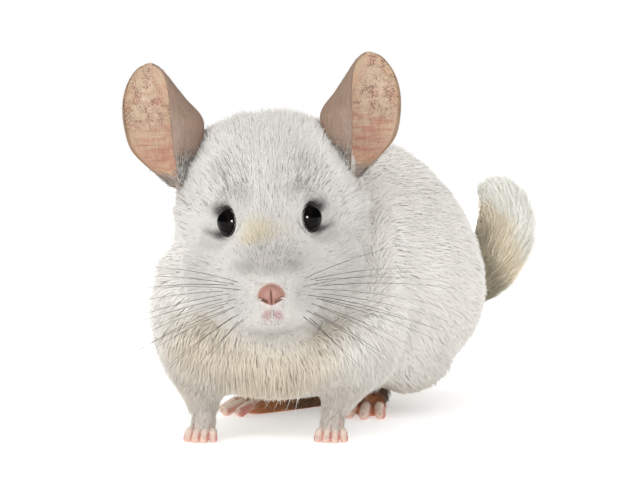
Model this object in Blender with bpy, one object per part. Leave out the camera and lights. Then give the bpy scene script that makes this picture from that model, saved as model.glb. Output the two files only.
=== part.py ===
"""A life-size chinchilla at rest on its four feet, divided into its named pieces.

Metres, +Z up. The animal faces -Y, its left side is +X, and its soles stand at z = 0.
The solids follow the outline of the coat, out to the tips of its hair.
"""

import math

import bmesh
import bpy
from mathutils import Matrix, Vector

# Gap left between two neighbouring pieces, and between the two sides of a thin cut.
GAP = 0.0003

# The head is posed as a whole: the point midway between the eyes, and how the head turns.
EYE_LINE_CENTRE = (0.0021, 0.0048, 0.0906)
HEAD_YAW = math.radians(20)
HEAD_ROLL = math.radians(3)

# Trunk sections: place along Y, centre in X, half width, top, level of the widest place,
# bottom, and how square the back is.
TRUNK = (
    (-0.0130, -0.0070, 0.0090, 0.0500, 0.0420, 0.0330, 2.0),
    (-0.0070, -0.0070, 0.0300, 0.0700, 0.0450, 0.0220, 2.0),
    (0.0100, -0.0060, 0.0465, 0.0940, 0.0480, 0.0145, 2.0),
    (0.0350, -0.0050, 0.0535, 0.1130, 0.0500, 0.0110, 1.9),
    (0.0700, -0.0020, 0.0565, 0.1215, 0.0530, 0.0090, 1.9),
    (0.1000, 0.0010, 0.0590, 0.1265, 0.0540, 0.0070, 1.9),
    (0.1250, 0.0015, 0.0595, 0.1250, 0.0540, 0.0070, 1.9),
    (0.1500, 0.0015, 0.0545, 0.1140, 0.0530, 0.0080, 1.9),
    (0.1700, 0.0015, 0.0410, 0.0940, 0.0500, 0.0120, 2.0),
    (0.1820, 0.0015, 0.0240, 0.0700, 0.0480, 0.0240, 2.0),
    (0.1875, 0.0015, 0.0080, 0.0560, 0.0470, 0.0380, 2.0),
)
BELLY_SQUARENESS = 2.1

# Head sections in the head's own frame: place along Y (nose in front), centre in X, half width,
# top, level of the widest place, bottom, and how square the crown is.
HEAD = (
    (-0.0390, 0.0, 0.0035, -0.0255, -0.0290, -0.0330, 2.0),
    (-0.0365, 0.0, 0.0090, -0.0200, -0.0300, -0.0380, 2.0),
    (-0.0300, 0.0, 0.0150, -0.0120, -0.0310, -0.0440, 1.9),
    (-0.0200, 0.0, 0.0200, -0.0020, -0.0300, -0.0475, 1.8),
    (-0.0080, 0.0, 0.0240, 0.0100, -0.0270, -0.0480, 1.5),
    (0.0000, 0.0, 0.0280, 0.0200, -0.0240, -0.0480, 1.4),
    (0.0100, 0.0, 0.0350, 0.0340, -0.0190, -0.0470, 1.8),
    (0.0200, 0.0, 0.0400, 0.0430, -0.0120, -0.0440, 2.6),
    (0.0300, 0.0, 0.0425, 0.0455, -0.0060, -0.0400, 2.8),
    (0.0420, 0.0, 0.0415, 0.0435, 0.0000, -0.0340, 2.6),
    (0.0560, 0.0, 0.0330, 0.0360, 0.0060, -0.0240, 2.2),
    (0.0680, 0.0, 0.0180, 0.0240, 0.0080, -0.0100, 2.0),
)
JAW_SQUARENESS = 2.1
CHEEK_PLACE = (0.0205, 0.0140, -0.0220)
CHEEK_SIZE = (0.0190, 0.0235, 0.0220)
NECK_PLACE = (-0.0060, 0.0540, 0.0850)
NECK_SIZE = (0.0420, 0.0460, 0.0430)

# Slanting cuts before and behind the neck, by a point at the throat and one at the nape.
HEAD_THROAT, HEAD_NAPE = (0.0, -0.0190, -0.0495), (0.0, 0.0660, 0.0360)
NECK_THROAT, NECK_NAPE = (0.0, -0.0110, -0.0620), (0.0, 0.0830, 0.0320)

# Eyes and the bare tip of the nose, in the head's frame.
EYE_RADIUS = 0.0062
EYE_PLACE = (0.0157, 0.0012, 0.0)
NOSE_PLACE = (0.0, -0.0380, -0.0285)
NOSE_SIZE = (0.0062, 0.0050, 0.0046)

# Ear outline in the head's frame: height, then the X of the inner side, of the free front edge
# and of the outer edge. The sheet bends round an ellipse between them.
EAR = (
    (0.0150, 0.0340, 0.0362, 0.0385),
    (0.0185, 0.0335, 0.0366, 0.0425),
    (0.0240, 0.0318, 0.0372, 0.0500),
    (0.0320, 0.0270, 0.0380, 0.0568),
    (0.0430, 0.0253, 0.0384, 0.0594),
    (0.0520, 0.0320, 0.0388, 0.0593),
    (0.0590, 0.0372, 0.0398, 0.0574),
    (0.0640, 0.0408, 0.0416, 0.0545),
    (0.0668, 0.0432, 0.0438, 0.0520),
    (0.0684, 0.0456, 0.0460, 0.0494),
)
EAR_BACK_ANGLE = math.radians(150)
EAR_DEPTH_RATIO = 0.62
EAR_FOOT_DEPTH = 0.0200
EAR_LEAN = 0.14
EAR_THICKNESS = 0.0014
EAR_SIDES = 8
EAR_SHIFT = -0.0015

# Upper limbs, as balls of muscle and coat: centre and half sizes, for the left and the right side,
# and the wider balls in which they are parted off.
THIGHS = {
    "left": ((0.0330, 0.1000, 0.0395), (0.0220, 0.0420, 0.0325)),
    "right": ((-0.0330, 0.1000, 0.0395), (0.0220, 0.0420, 0.0325)),
}
SHOULDERS = {
    "left": ((0.0290, 0.0330, 0.0500), (0.0230, 0.0300, 0.0360)),
    "right": ((-0.0370, 0.0240, 0.0500), (0.0210, 0.0290, 0.0360)),
}

THIGH_REGIONS = {
    "left": ((0.0580, 0.1000, 0.0350), (0.0360, 0.0400, 0.0350)),
    "right": ((-0.0560, 0.1000, 0.0350), (0.0360, 0.0400, 0.0350)),
}
SHOULDER_REGIONS = {
    "left": ((0.0540, 0.0320, 0.0480), (0.0320, 0.0290, 0.0350)),
    "right": ((-0.0620, 0.0260, 0.0480), (0.0320, 0.0290, 0.0350)),
}

# Lower limbs: points with a radius, from the body outwards, and the ball in which each is parted off.
FOREARMS = {
    "left": (
        (0.0300, 0.0340, 0.0440, 0.0190),
        (0.0310, 0.0240, 0.0280, 0.0135),
        (0.0300, 0.0120, 0.0170, 0.0088),
        (0.0295, 0.0050, 0.0080, 0.0062),
    ),
    "right": (
        (-0.0350, 0.0180, 0.0440, 0.0190),
        (-0.0300, 0.0060, 0.0280, 0.0135),
        (-0.0235, -0.0060, 0.0170, 0.0090),
        (-0.0205, -0.0130, 0.0080, 0.0062),
    ),
}
FOREARM_REGIONS = {
    "left": ((0.0305, 0.0160, 0.0140), (0.0165, 0.0220, 0.0180)),
    "right": ((-0.0260, -0.0010, 0.0140), (0.0175, 0.0220, 0.0180)),
}

# Feet: the point on the floor below the wrist or heel, and the way the toes point,
# in degrees from -Y towards +X.
FOREPAWS = {"left": ((0.0295, 0.0060), 16), "right": ((-0.0205, -0.0120), 14)}
HINDFEET = {"left": ((0.0120, 0.1150), 13), "right": ((-0.0095, 0.1000), -33)}
WRIST_HEIGHT = 0.0090
SOLE_CLEARANCE = 0.0010

# Tail run: points with the half width of its brush, and where it is cut across.
TAIL = (
    (0.0040, 0.1700, 0.0440, 0.0130),
    (0.0150, 0.1860, 0.0420, 0.0140),
    (0.0280, 0.1950, 0.0480, 0.0150),
    (0.0400, 0.1990, 0.0570, 0.0175),
    (0.0480, 0.2000, 0.0700, 0.0195),
    (0.0510, 0.1990, 0.0830, 0.0175),
    (0.0490, 0.1970, 0.0920, 0.0125),
    (0.0455, 0.1950, 0.0985, 0.0065),
)
TAIL_CUTS = ("tail_middle", 2.6), ("tail_tip", 4.6)

# Coarseness of the fused surfaces, and how many triangles each keeps.
BODY_VOXEL = 0.0020
BODY_TRIANGLES = 1900
TAIL_TRIANGLES = 400
PAW_VOXEL = 0.0006
FOREPAW_TRIANGLES = 300
HINDFOOT_TRIANGLES = 330

# Looks: colour and roughness.
COAT = ((0.80, 0.77, 0.73), 0.95)
CHEST_COAT = ((0.72, 0.66, 0.55), 0.95)
FACE_COAT = ((0.72, 0.69, 0.66), 0.95)
TAIL_DARK = ((0.40, 0.34, 0.27), 0.95)
TAIL_CREAM = ((0.82, 0.76, 0.62), 0.95)
FOOT_COAT = ((0.66, 0.60, 0.54), 0.9)
FOOT_SKIN = ((0.76, 0.48, 0.40), 0.6)
EAR_SKIN = ((0.60, 0.38, 0.29), 0.6)
NOSE_SKIN = ((0.58, 0.30, 0.26), 0.45)
EYE_BLACK = ((0.01, 0.01, 0.012), 0.05)


def clear_scene():
    for old in list(bpy.data.objects):
        bpy.data.objects.remove(old)


def paint(made, look):
    """Gives the object a material of its own, with this colour and roughness."""
    colour, roughness = look
    coat = bpy.data.materials.new(f"{made.name}_surface")
    coat.use_nodes = True
    shader = coat.node_tree.nodes["Principled BSDF"]
    shader.inputs["Base Color"].default_value = (*colour, 1)
    shader.inputs["Roughness"].default_value = roughness
    shader.inputs["Metallic"].default_value = 0.0
    made.data.materials.clear()
    made.data.materials.append(coat)
    made.data.shade_smooth()
    made.data.set_sharp_from_angle(angle=math.radians(50))


def new_object(name, shape):
    """An object from a bmesh, which is freed."""
    bmesh.ops.recalc_face_normals(shape, faces=shape.faces)
    mesh = bpy.data.meshes.new(name)
    shape.to_mesh(mesh)
    shape.free()
    made = bpy.data.objects.new(name, mesh)
    bpy.context.scene.collection.objects.link(made)
    return made


def duplicate(made, name):
    again = bpy.data.objects.new(name, made.data.copy())
    bpy.context.scene.collection.objects.link(again)
    return again


def apply_modifiers(made):
    """Replaces the object's mesh with what its modifiers make of it."""
    bpy.context.view_layer.update()
    graph = bpy.context.evaluated_depsgraph_get()
    mesh = bpy.data.meshes.new_from_object(made.evaluated_get(graph), depsgraph=graph)
    made.modifiers.clear()
    made.data = mesh
    return made


def cut(made, cutter, operation="DIFFERENCE"):
    """Cuts the object with the cutter, or keeps what both share, and removes the cutter."""
    step = made.modifiers.new("cut", "BOOLEAN")
    step.operation = operation
    step.solver = "EXACT"
    step.object = cutter
    apply_modifiers(made)
    bpy.data.objects.remove(cutter)
    return made


def catmull_rom(rows, steps):
    """The rows of numbers, with smooth rows between them, `steps` for each gap."""
    rows = [Vector(row) for row in rows]
    ends = [2 * rows[0] - rows[1], *rows, 2 * rows[-1] - rows[-2]]
    smooth = []
    for a, b, c, d in zip(ends, ends[1:], ends[2:], ends[3:]):
        for step in range(steps):
            t = step / steps
            linear = (c - a) * t
            square = (2 * a - 5 * b + 4 * c - d) * t**2
            cube = (3 * b - a - 3 * c + d) * t**3
            smooth.append(0.5 * (2 * b + linear + square + cube))
    return smooth + [rows[-1]]


def add_ball(shape, centre, sizes, segments=20):
    """An ellipsoid in the bmesh, with its centre and half sizes."""
    place = Matrix.Translation(centre) @ Matrix.Diagonal((*sizes, 1))
    bmesh.ops.create_uvsphere(
        shape, u_segments=segments, v_segments=segments // 2, radius=1, matrix=place
    )


def add_beads(shape, run, spacing=0.25, steps=6, extra=0.0):
    """A rounded limb: balls close together along the smooth line through the run's points."""
    last = None
    for x, y, z, radius in catmull_rom(run, steps):
        point = Vector((x, y, z))
        if last is None or (point - last).length > spacing * radius:
            add_ball(shape, point, (radius + extra,) * 3, segments=16)
            last = point


def section_point(angle, x, half, top, level, bottom, crown, base):
    """A point on a rounded upright section, widest at the level, at an angle about it."""
    c, s = math.cos(angle), math.sin(angle)
    power, reach = (2 / crown, top - level) if s > 0 else (2 / base, level - bottom)
    across = half * math.copysign(abs(c) ** power, c)
    up = reach * math.copysign(abs(s) ** power, s)
    return x + across, level + up


def add_loft(shape, sections, base, place=None, sides=32, steps=3):
    """A closed body through upright sections across Y."""
    place = place or Matrix.Identity(4)
    rings = []
    for y, x, half, top, level, bottom, crown in catmull_rom(sections, steps):
        ring = []
        for side in range(sides):
            angle = 2 * math.pi * side / sides
            across, up = section_point(angle, x, half, top, level, bottom, crown, base)
            ring.append(shape.verts.new(place @ Vector((across, y, up))))
        rings.append(ring)
    for near, far in zip(rings, rings[1:]):
        for side in range(sides):
            after = (side + 1) % sides
            shape.faces.new((near[side], near[after], far[after], far[side]))
    shape.faces.new(rings[0])
    shape.faces.new(rings[-1])


def fuse(made, voxel, smoothing, triangles=None):
    """Makes one smooth closed body of overlapping ones, with about this many triangles."""
    remesh = made.modifiers.new("fuse", "REMESH")
    remesh.mode = "VOXEL"
    remesh.voxel_size = voxel
    soften = made.modifiers.new("soften", "SMOOTH")
    soften.factor = 0.5
    soften.iterations = smoothing
    apply_modifiers(made)
    if triangles:
        thin = made.modifiers.new("thin", "DECIMATE")
        thin.ratio = triangles / (2 * len(made.data.polygons))
        thin.use_collapse_triangulate = True
        apply_modifiers(made)
    return made


def halve(made, point, normal):
    """Keeps the side of the plane that the normal points to, and closes the cut."""
    shape = bmesh.new()
    shape.from_mesh(made.data)
    bmesh.ops.bisect_plane(
        shape,
        geom=[*shape.verts, *shape.edges, *shape.faces],
        plane_co=point,
        plane_no=normal,
        dist=1e-6,
        clear_inner=True,
    )
    rim = [edge for edge in shape.edges if edge.is_boundary]
    bmesh.ops.triangle_fill(shape, use_beauty=True, edges=rim)
    bmesh.ops.recalc_face_normals(shape, faces=shape.faces)
    shape.to_mesh(made.data)
    shape.free()
    return made


def part_by_plane(made, name, point, normal):
    """Parts the object at a plane with a thin gap: the side the normal points to gets the name."""
    point, normal = Vector(point), Vector(normal).normalized()
    far = duplicate(made, name)
    halve(far, point + normal * GAP / 2, normal)
    halve(made, point - normal * GAP / 2, -normal)
    return far


def part_by_ball(made, name, centre, sizes, segments=14):
    """Parts off what lies in an ellipsoid, with a thin gap round it."""
    region, wider = bmesh.new(), bmesh.new()
    add_ball(region, centre, sizes, segments)
    add_ball(wider, centre, [size + GAP for size in sizes], segments)
    piece = duplicate(made, name)
    cut(piece, new_object("region", region), "INTERSECT")
    cut(made, new_object("wider_region", wider))
    keep_largest(made)
    return keep_largest(piece)


def keep_largest(made):
    """Drops loose scraps that a cut may leave, and keeps the largest body."""
    shape = bmesh.new()
    shape.from_mesh(made.data)
    waiting = set(shape.verts)
    groups = []
    while waiting:
        front = [waiting.pop()]
        group = []
        while front:
            vert = front.pop()
            group.append(vert)
            for edge in vert.link_edges:
                other = edge.other_vert(vert)
                if other in waiting:
                    waiting.remove(other)
                    front.append(other)
        groups.append(group)
    largest = max(groups, key=len)
    scraps = [vert for group in groups if group is not largest for vert in group]
    bmesh.ops.delete(shape, geom=scraps, context="VERTS")
    shape.to_mesh(made.data)
    shape.free()
    return made


def swollen(made, name):
    """A copy of the object grown by the gap, to cut its neighbours with."""
    again = duplicate(made, name)
    grow = again.modifiers.new("grow", "DISPLACE")
    grow.strength = GAP
    grow.mid_level = 0
    return apply_modifiers(again)


def head_frame():
    """The head's own axes: +X to its left, +Y towards its nape, +Z up."""
    turn = Matrix.Rotation(HEAD_YAW, 4, "Z") @ Matrix.Rotation(-HEAD_ROLL, 4, "Y")
    return Matrix.Translation(EYE_LINE_CENTRE) @ turn


def on_head(side, point):
    """A point of the head's frame, on its left (1) or its right (-1), in the world."""
    x, y, z = point
    return head_frame() @ Vector((side * x, y, z))


def on_ear(side, point):
    return on_head(side, (point[0] + side * EAR_SHIFT, point[1], point[2]))


def foot_frame(stance):
    """A foot's own axes on the floor, with its toes towards -Y."""
    (x, y), heading = stance
    return Matrix.Translation((x, y, 0)) @ Matrix.Rotation(math.radians(heading), 4, "Z")


def placed(run, place):
    return [(*(place @ Vector(point[:3])), point[3]) for point in run]


def make_body():
    """Head, neck, trunk and the upper limbs as one soft surface."""
    shape = bmesh.new()
    add_loft(shape, TRUNK, BELLY_SQUARENESS)
    add_loft(shape, HEAD, JAW_SQUARENESS, place=head_frame())
    add_ball(shape, NECK_PLACE, NECK_SIZE)
    for side in ("left", "right"):
        add_ball(shape, *THIGHS[side])
        add_ball(shape, *SHOULDERS[side])
        add_beads(shape, FOREARMS[side])
    for side in (1, -1):
        place = head_frame() @ Matrix.Translation((side * CHEEK_PLACE[0], *CHEEK_PLACE[1:]))
        cheek = Matrix.Diagonal((*CHEEK_SIZE, 1))
        bmesh.ops.create_uvsphere(shape, u_segments=20, v_segments=10, radius=1, matrix=place @ cheek)
    return fuse(new_object("trunk", shape), BODY_VOXEL, 7, BODY_TRIANGLES)


def toe(root, knuckle, tip, thickness):
    """A toe that arches over its knuckle to the floor, and the claw at its end."""
    root, knuckle, tip = Vector(root), Vector(knuckle), Vector(tip)
    ahead = Vector((tip.x - knuckle.x, tip.y - knuckle.y, 0)).normalized()
    claw_root = tip + ahead * thickness * 0.7 + Vector((0, 0, thickness * 0.1))
    claw_tip = claw_root + ahead * 0.0014
    return (
        (*root, thickness),
        (*knuckle, thickness * 0.96),
        (*tip, thickness * 1.02),
        (*claw_root, thickness * 0.55),
        (*claw_tip, thickness * 0.28),
    )


def forepaw_runs():
    """The pad of a forepaw, and its four toes."""
    pad = (
        (0.0, 0.0, 0.0120, 0.0050),
        (0.0, -0.0015, 0.0070, 0.0049),
        (0.0, -0.0045, 0.0036, 0.0047),
    )
    toes = []
    for spread, reach in ((-1.35, 0.0098), (-0.47, 0.0122), (0.47, 0.0122), (1.35, 0.0098)):
        root = (spread * 0.0024, -0.0040, 0.0042)
        knuckle = (spread * 0.0034, -0.0072, 0.0040)
        tip = (spread * 0.0040, -reach, 0.0016)
        toes.append(toe(root, knuckle, tip, 0.0017))
    return pad, toes


def hindfoot_runs():
    """The long sole of a hind foot, and its toes."""
    sole = (
        (0.0, 0.0010, 0.0060, 0.0056),
        (0.0, -0.0180, 0.0044, 0.0056),
        (0.0, -0.0360, 0.0036, 0.0062),
    )
    toes = []
    for spread, reach in ((-1.2, 0.0490), (0.0, 0.0530), (1.2, 0.0500)):
        root = (spread * 0.0036, -0.0360, 0.0042)
        knuckle = (spread * 0.0050, -0.0440, 0.0048)
        tip = (spread * 0.0058, -reach, 0.0022)
        toes.append(toe(root, knuckle, tip, 0.0024))
    return sole, toes


def make_foot(name, stance, runs, triangles):
    """A foot with its toes and claws, and its flat sole on the floor."""
    place = foot_frame(stance)
    main_run, toes = runs
    shape = bmesh.new()
    for run in (main_run, *toes):
        add_beads(shape, placed(run, place), spacing=0.2)
    foot = fuse(new_object(name, shape), PAW_VOXEL, 2, triangles)
    halve(foot, (0, 0, 0.0002), (0, 0, 1))
    paint(foot, FOOT_SKIN)
    return foot


def clear_over_sole(body, stance):
    """Hollows the belly over a hind foot, so that the foot lies under it."""
    sole, toes = hindfoot_runs()
    place = foot_frame(stance)
    shape = bmesh.new()
    for run in (sole, *toes):
        add_beads(shape, placed(run, place), extra=SOLE_CLEARANCE)
    cut(body, fuse(new_object("sole_space", shape), 0.0012, 1, 600))
    return keep_largest(body)


def make_eye(name, side):
    shape = bmesh.new()
    add_ball(shape, on_head(side, EYE_PLACE), (EYE_RADIUS,) * 3, segments=12)
    eye = new_object(name, shape)
    paint(eye, EYE_BLACK)
    return eye


def cut_eye_socket(head, side):
    shape = bmesh.new()
    add_ball(shape, on_head(side, EYE_PLACE), (EYE_RADIUS + GAP,) * 3, segments=12)
    cut(head, new_object("socket", shape))


def ear_row(height, inner, front, outer):
    """Points across the ear at one height, from its free front edge round to its outer edge."""
    half = (outer - inner) / (1 - math.cos(EAR_BACK_ANGLE))
    middle = inner + half
    turn = max(-1.0, min(1.0, (middle - front) / half))
    front_angle = -math.acos(turn)
    depth = EAR_FOOT_DEPTH + EAR_LEAN * height
    for step in range(EAR_SIDES + 1):
        angle = front_angle + (EAR_BACK_ANGLE - front_angle) * step / EAR_SIDES
        x = middle - half * math.cos(angle)
        y = depth + EAR_DEPTH_RATIO * half * math.sin(angle)
        yield x, y, height


def make_ear(name, side, body):
    """A thin bent sheet that rises from the coat of the head."""
    shape = bmesh.new()
    rows = []
    for heights in catmull_rom(EAR, 2):
        rows.append([shape.verts.new(on_ear(side, point)) for point in ear_row(*heights)])
    for low, high in zip(rows, rows[1:]):
        for a, b, c, d in zip(low, low[1:], high[1:], high):
            shape.faces.new((a, b, c, d))
    ear = new_object(name, shape)
    thicken = ear.modifiers.new("thicken", "SOLIDIFY")
    thicken.thickness = EAR_THICKNESS
    thicken.offset = 0
    apply_modifiers(ear)
    cut(ear, swollen(body, "head_space"))
    keep_largest(ear)
    paint(ear, EAR_SKIN)
    return ear


def make_tail(body):
    """The brush of the tail, cut across into its three lengths."""
    shape = bmesh.new()
    add_beads(shape, TAIL)
    base = fuse(new_object("tail_base", shape), BODY_VOXEL, 4, TAIL_TRIANGLES)
    cut(base, swollen(body, "rump_space"))
    keep_largest(base)
    paint(base, TAIL_DARK)
    points = [Vector(point[:3]) for point in TAIL]
    near = base
    for name, place in TAIL_CUTS:
        index = int(place)
        ahead = points[index + 1] - points[index]
        near = part_by_plane(near, name, points[index] + ahead * (place - index), ahead)
        paint(near, TAIL_CREAM)


def part_forearm(body, side):
    """The forearm down to its wrist, and the paw below it."""
    forearm = part_by_ball(body, f"forearm_{side}", *FOREARM_REGIONS[side], segments=10)
    halve(forearm, (0, 0, WRIST_HEIGHT + GAP / 2), (0, 0, 1))
    keep_largest(forearm)
    paint(forearm, FOOT_COAT)
    paw = make_foot(f"forepaw_{side}", FOREPAWS[side], forepaw_runs(), FOREPAW_TRIANGLES)
    halve(paw, (0, 0, WRIST_HEIGHT - GAP / 2), (0, 0, -1))


def part_across_neck(body, name, throat, nape):
    """Parts off what lies in front of a slanting cut from the throat to the nape."""
    place = head_frame()
    across = place.to_3x3() @ Vector((1, 0, 0))
    throat, nape = place @ Vector(throat), place @ Vector(nape)
    forward = (nape - throat).cross(across)
    return part_by_plane(body, name, throat, forward if forward.y < 0 else -forward)


def part_head(body):
    """The head, with its eye sockets, and the tip of its nose."""
    head = part_across_neck(body, "head", HEAD_THROAT, HEAD_NAPE)
    for side in (1, -1):
        cut_eye_socket(head, side)
    nose = part_by_ball(head, "nose", on_head(1, NOSE_PLACE), NOSE_SIZE, segments=10)
    paint(head, FACE_COAT)
    paint(nose, NOSE_SKIN)


def part_trunk(body):
    """The neck, chest, trunk and rump, from front to back."""
    paint(part_across_neck(body, "neck", NECK_THROAT, NECK_NAPE), COAT)
    rump = part_by_plane(body, "rump", (0, 0.140, 0), (0, 1, 0))
    chest = part_by_plane(body, "chest", (0, 0.068, 0), (0, -1, 0))
    paint(rump, COAT)
    paint(body, COAT)
    paint(chest, CHEST_COAT)


def centre_on_floor():
    """Moves everything so that the middle of its box is at the origin, and its soles at z = 0."""
    corners = []
    for made in bpy.data.objects:
        corners += [vert.co for vert in made.data.vertices]
    low = Vector([min(corner[axis] for corner in corners) for axis in range(3)])
    high = Vector([max(corner[axis] for corner in corners) for axis in range(3)])
    shift = Vector((-(low.x + high.x) / 2, -(low.y + high.y) / 2, -low.z))
    for made in bpy.data.objects:
        made.data.transform(Matrix.Translation(shift))


def main():
    clear_scene()
    body = make_body()
    for side in ("left", "right"):
        clear_over_sole(body, HINDFEET[side])
        make_foot(f"hindfoot_{side}", HINDFEET[side], hindfoot_runs(), HINDFOOT_TRIANGLES)
    for side, sign in (("left", 1), ("right", -1)):
        make_ear(f"ear_{side}", sign, body)
        make_eye(f"eye_{side}", sign)
    make_tail(body)
    part_head(body)
    for side in ("left", "right"):
        paint(part_by_ball(body, f"thigh_{side}", *THIGH_REGIONS[side]), COAT)
        part_forearm(body, side)
        paint(part_by_ball(body, f"upper_arm_{side}", *SHOULDER_REGIONS[side]), COAT)
    part_trunk(body)
    centre_on_floor()


main()
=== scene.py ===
"""The looks of a life-size chinchilla at rest: skin, coat, eyes, nose, ears, paws and whiskers.

Metres, +Z up. The animal faces -Y, with its left side at +X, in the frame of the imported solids.
The coat's tips reach the outline that the solids give, and the skin lies under it.
"""

import math

import bmesh
import bpy
import numpy as np
from mathutils import Matrix, Vector, noise
from mathutils.bvhtree import BVHTree
from mathutils.kdtree import KDTree


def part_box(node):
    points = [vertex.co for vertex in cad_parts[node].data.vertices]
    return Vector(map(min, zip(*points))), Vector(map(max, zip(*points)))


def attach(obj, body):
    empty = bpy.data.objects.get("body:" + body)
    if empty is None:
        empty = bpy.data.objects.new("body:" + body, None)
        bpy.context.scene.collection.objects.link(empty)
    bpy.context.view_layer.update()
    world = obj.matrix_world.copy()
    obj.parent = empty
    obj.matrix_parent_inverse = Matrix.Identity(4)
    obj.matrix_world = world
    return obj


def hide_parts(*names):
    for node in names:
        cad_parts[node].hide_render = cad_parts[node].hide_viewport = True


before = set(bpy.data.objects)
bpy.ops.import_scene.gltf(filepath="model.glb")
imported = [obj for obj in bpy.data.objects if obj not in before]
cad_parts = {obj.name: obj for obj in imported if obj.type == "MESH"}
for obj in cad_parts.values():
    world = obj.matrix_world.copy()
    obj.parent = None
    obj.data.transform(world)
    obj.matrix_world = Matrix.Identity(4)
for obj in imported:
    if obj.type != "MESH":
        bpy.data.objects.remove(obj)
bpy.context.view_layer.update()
RANDOM = np.random.default_rng(11)

MM = 0.001

# The head is posed as a whole: the point midway between the eyes, and how the head turns.
EYE_LINE_CENTRE = (0.0021, 0.0048, 0.0906)
HEAD_YAW = math.radians(20)
HEAD_ROLL = math.radians(3)
EYE_RADIUS = 0.0062
EYE_PLACE = (0.0157, 0.0012, 0.0)

# Head sections in the head's own frame: place along Y (nose in front), half width, top,
# level of the widest place, bottom, and how square the crown is.
HEAD = (
    (-0.0390, 0.0035, -0.0255, -0.0290, -0.0330, 2.0),
    (-0.0365, 0.0090, -0.0200, -0.0300, -0.0380, 2.0),
    (-0.0300, 0.0150, -0.0120, -0.0310, -0.0440, 1.9),
    (-0.0200, 0.0200, -0.0020, -0.0300, -0.0475, 1.8),
    (-0.0080, 0.0240, 0.0100, -0.0270, -0.0480, 1.5),
    (0.0000, 0.0280, 0.0200, -0.0240, -0.0480, 1.4),
    (0.0100, 0.0350, 0.0340, -0.0190, -0.0470, 1.8),
    (0.0200, 0.0400, 0.0430, -0.0120, -0.0440, 2.6),
    (0.0300, 0.0425, 0.0455, -0.0060, -0.0400, 2.8),
    (0.0420, 0.0415, 0.0435, 0.0000, -0.0340, 2.6),
    (0.0560, 0.0330, 0.0360, 0.0060, -0.0240, 2.2),
    (0.0680, 0.0180, 0.0240, 0.0080, -0.0100, 2.0),
)
JAW_SQUARENESS = 2.1
CHEEK_PLACE = (0.0205, 0.0140, -0.0220)
CHEEK_SIZE = (0.0190, 0.0235, 0.0220)

# Ear outline in the head's frame: height, then the X of the inner side, of the free front edge
# and of the outer edge. The sheet bends round an ellipse between them.
EAR = (
    (0.0150, 0.0340, 0.0362, 0.0385),
    (0.0185, 0.0335, 0.0366, 0.0425),
    (0.0240, 0.0318, 0.0372, 0.0500),
    (0.0320, 0.0270, 0.0380, 0.0568),
    (0.0430, 0.0253, 0.0384, 0.0594),
    (0.0520, 0.0320, 0.0388, 0.0593),
    (0.0590, 0.0372, 0.0398, 0.0574),
    (0.0640, 0.0408, 0.0416, 0.0545),
    (0.0668, 0.0432, 0.0438, 0.0520),
    (0.0684, 0.0456, 0.0460, 0.0494),
)
EAR_BACK_ANGLE = math.radians(150)
EAR_DEPTH_RATIO = 0.62
EAR_FOOT_DEPTH = 0.0200
EAR_LEAN = 0.14
EAR_SHIFT = -0.0015

# Feet: the point on the floor below the wrist or heel, and the way the toes point,
# in degrees from -Y towards +X.
FOREPAWS = {1: ((0.0295, 0.0060), 16), -1: ((-0.0205, -0.0120), 14)}
HINDFEET = {1: ((0.0120, 0.1150), 13), -1: ((-0.0095, 0.1000), -33)}
FORELEGS = {
    1: (
        (0.0300, 0.0340, 0.0440), (0.0310, 0.0240, 0.0280),
        (0.0300, 0.0120, 0.0170), (0.0295, 0.0050, 0.0080),
    ),
    -1: (
        (-0.0350, 0.0180, 0.0440), (-0.0300, 0.0060, 0.0280),
        (-0.0235, -0.0060, 0.0170), (-0.0205, -0.0130, 0.0080),
    ),
}

# Tail run: points with the half width of its brush.
TAIL = (
    (0.0040, 0.1700, 0.0440, 0.0130),
    (0.0150, 0.1860, 0.0420, 0.0140),
    (0.0280, 0.1950, 0.0480, 0.0150),
    (0.0400, 0.1990, 0.0570, 0.0175),
    (0.0480, 0.2000, 0.0700, 0.0195),
    (0.0510, 0.1990, 0.0830, 0.0175),
    (0.0490, 0.1970, 0.0920, 0.0125),
    (0.0455, 0.1950, 0.0985, 0.0065),
)
TAIL_CORE = 0.42

BODY_NODES = [
    "neck", "chest", "trunk", "rump", "thigh_left", "thigh_right", "upper_arm_left",
    "upper_arm_right", "forearm_left", "forearm_right",
]
TAIL_NODES = ["tail_base", "tail_middle", "tail_tip"]
FLESH_NODES = BODY_NODES + TAIL_NODES + [
    "head", "ear_left", "ear_right", "forepaw_left", "forepaw_right", "hindfoot_left", "hindfoot_right",
]


# Numbers and small helpers

def smoothstep(low, high, value):
    """0 at low, 1 at high, with a soft change between; low may be the greater."""
    t = np.clip((np.asarray(value, float) - low) / (high - low), 0, 1)
    return t * t * (3 - 2 * t)


def unit(vectors):
    return vectors / np.maximum(np.linalg.norm(vectors, axis=-1, keepdims=True), 1e-12)


def dot(a, b):
    return np.sum(a * b, axis=-1, keepdims=True)


def linear(colour):
    """A linear colour from one with 0-255 display values."""
    c = np.asarray(colour, float) / 255
    return np.where(c <= 0.04045, c / 12.92, ((c + 0.055) / 1.055) ** 2.4)


def plain(colour, count):
    """The same colour for this many points."""
    return np.repeat(linear(colour)[None], count, 0)


def catmull_rom(rows, steps):
    """The rows of numbers, with smooth rows between them, `steps` for each gap."""
    rows = np.array(rows, float)
    ends = np.vstack([2 * rows[0] - rows[1], rows, 2 * rows[-1] - rows[-2]])
    smooth = []
    for a, b, c, d in zip(ends, ends[1:], ends[2:], ends[3:]):
        for t in np.arange(steps) / steps:
            bend = (2 * a - 5 * b + 4 * c - d) * t**2 + (3 * b - a - 3 * c + d) * t**3
            smooth.append(0.5 * (2 * b + (c - a) * t + bend))
    return np.array(smooth + [rows[-1]])


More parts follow.
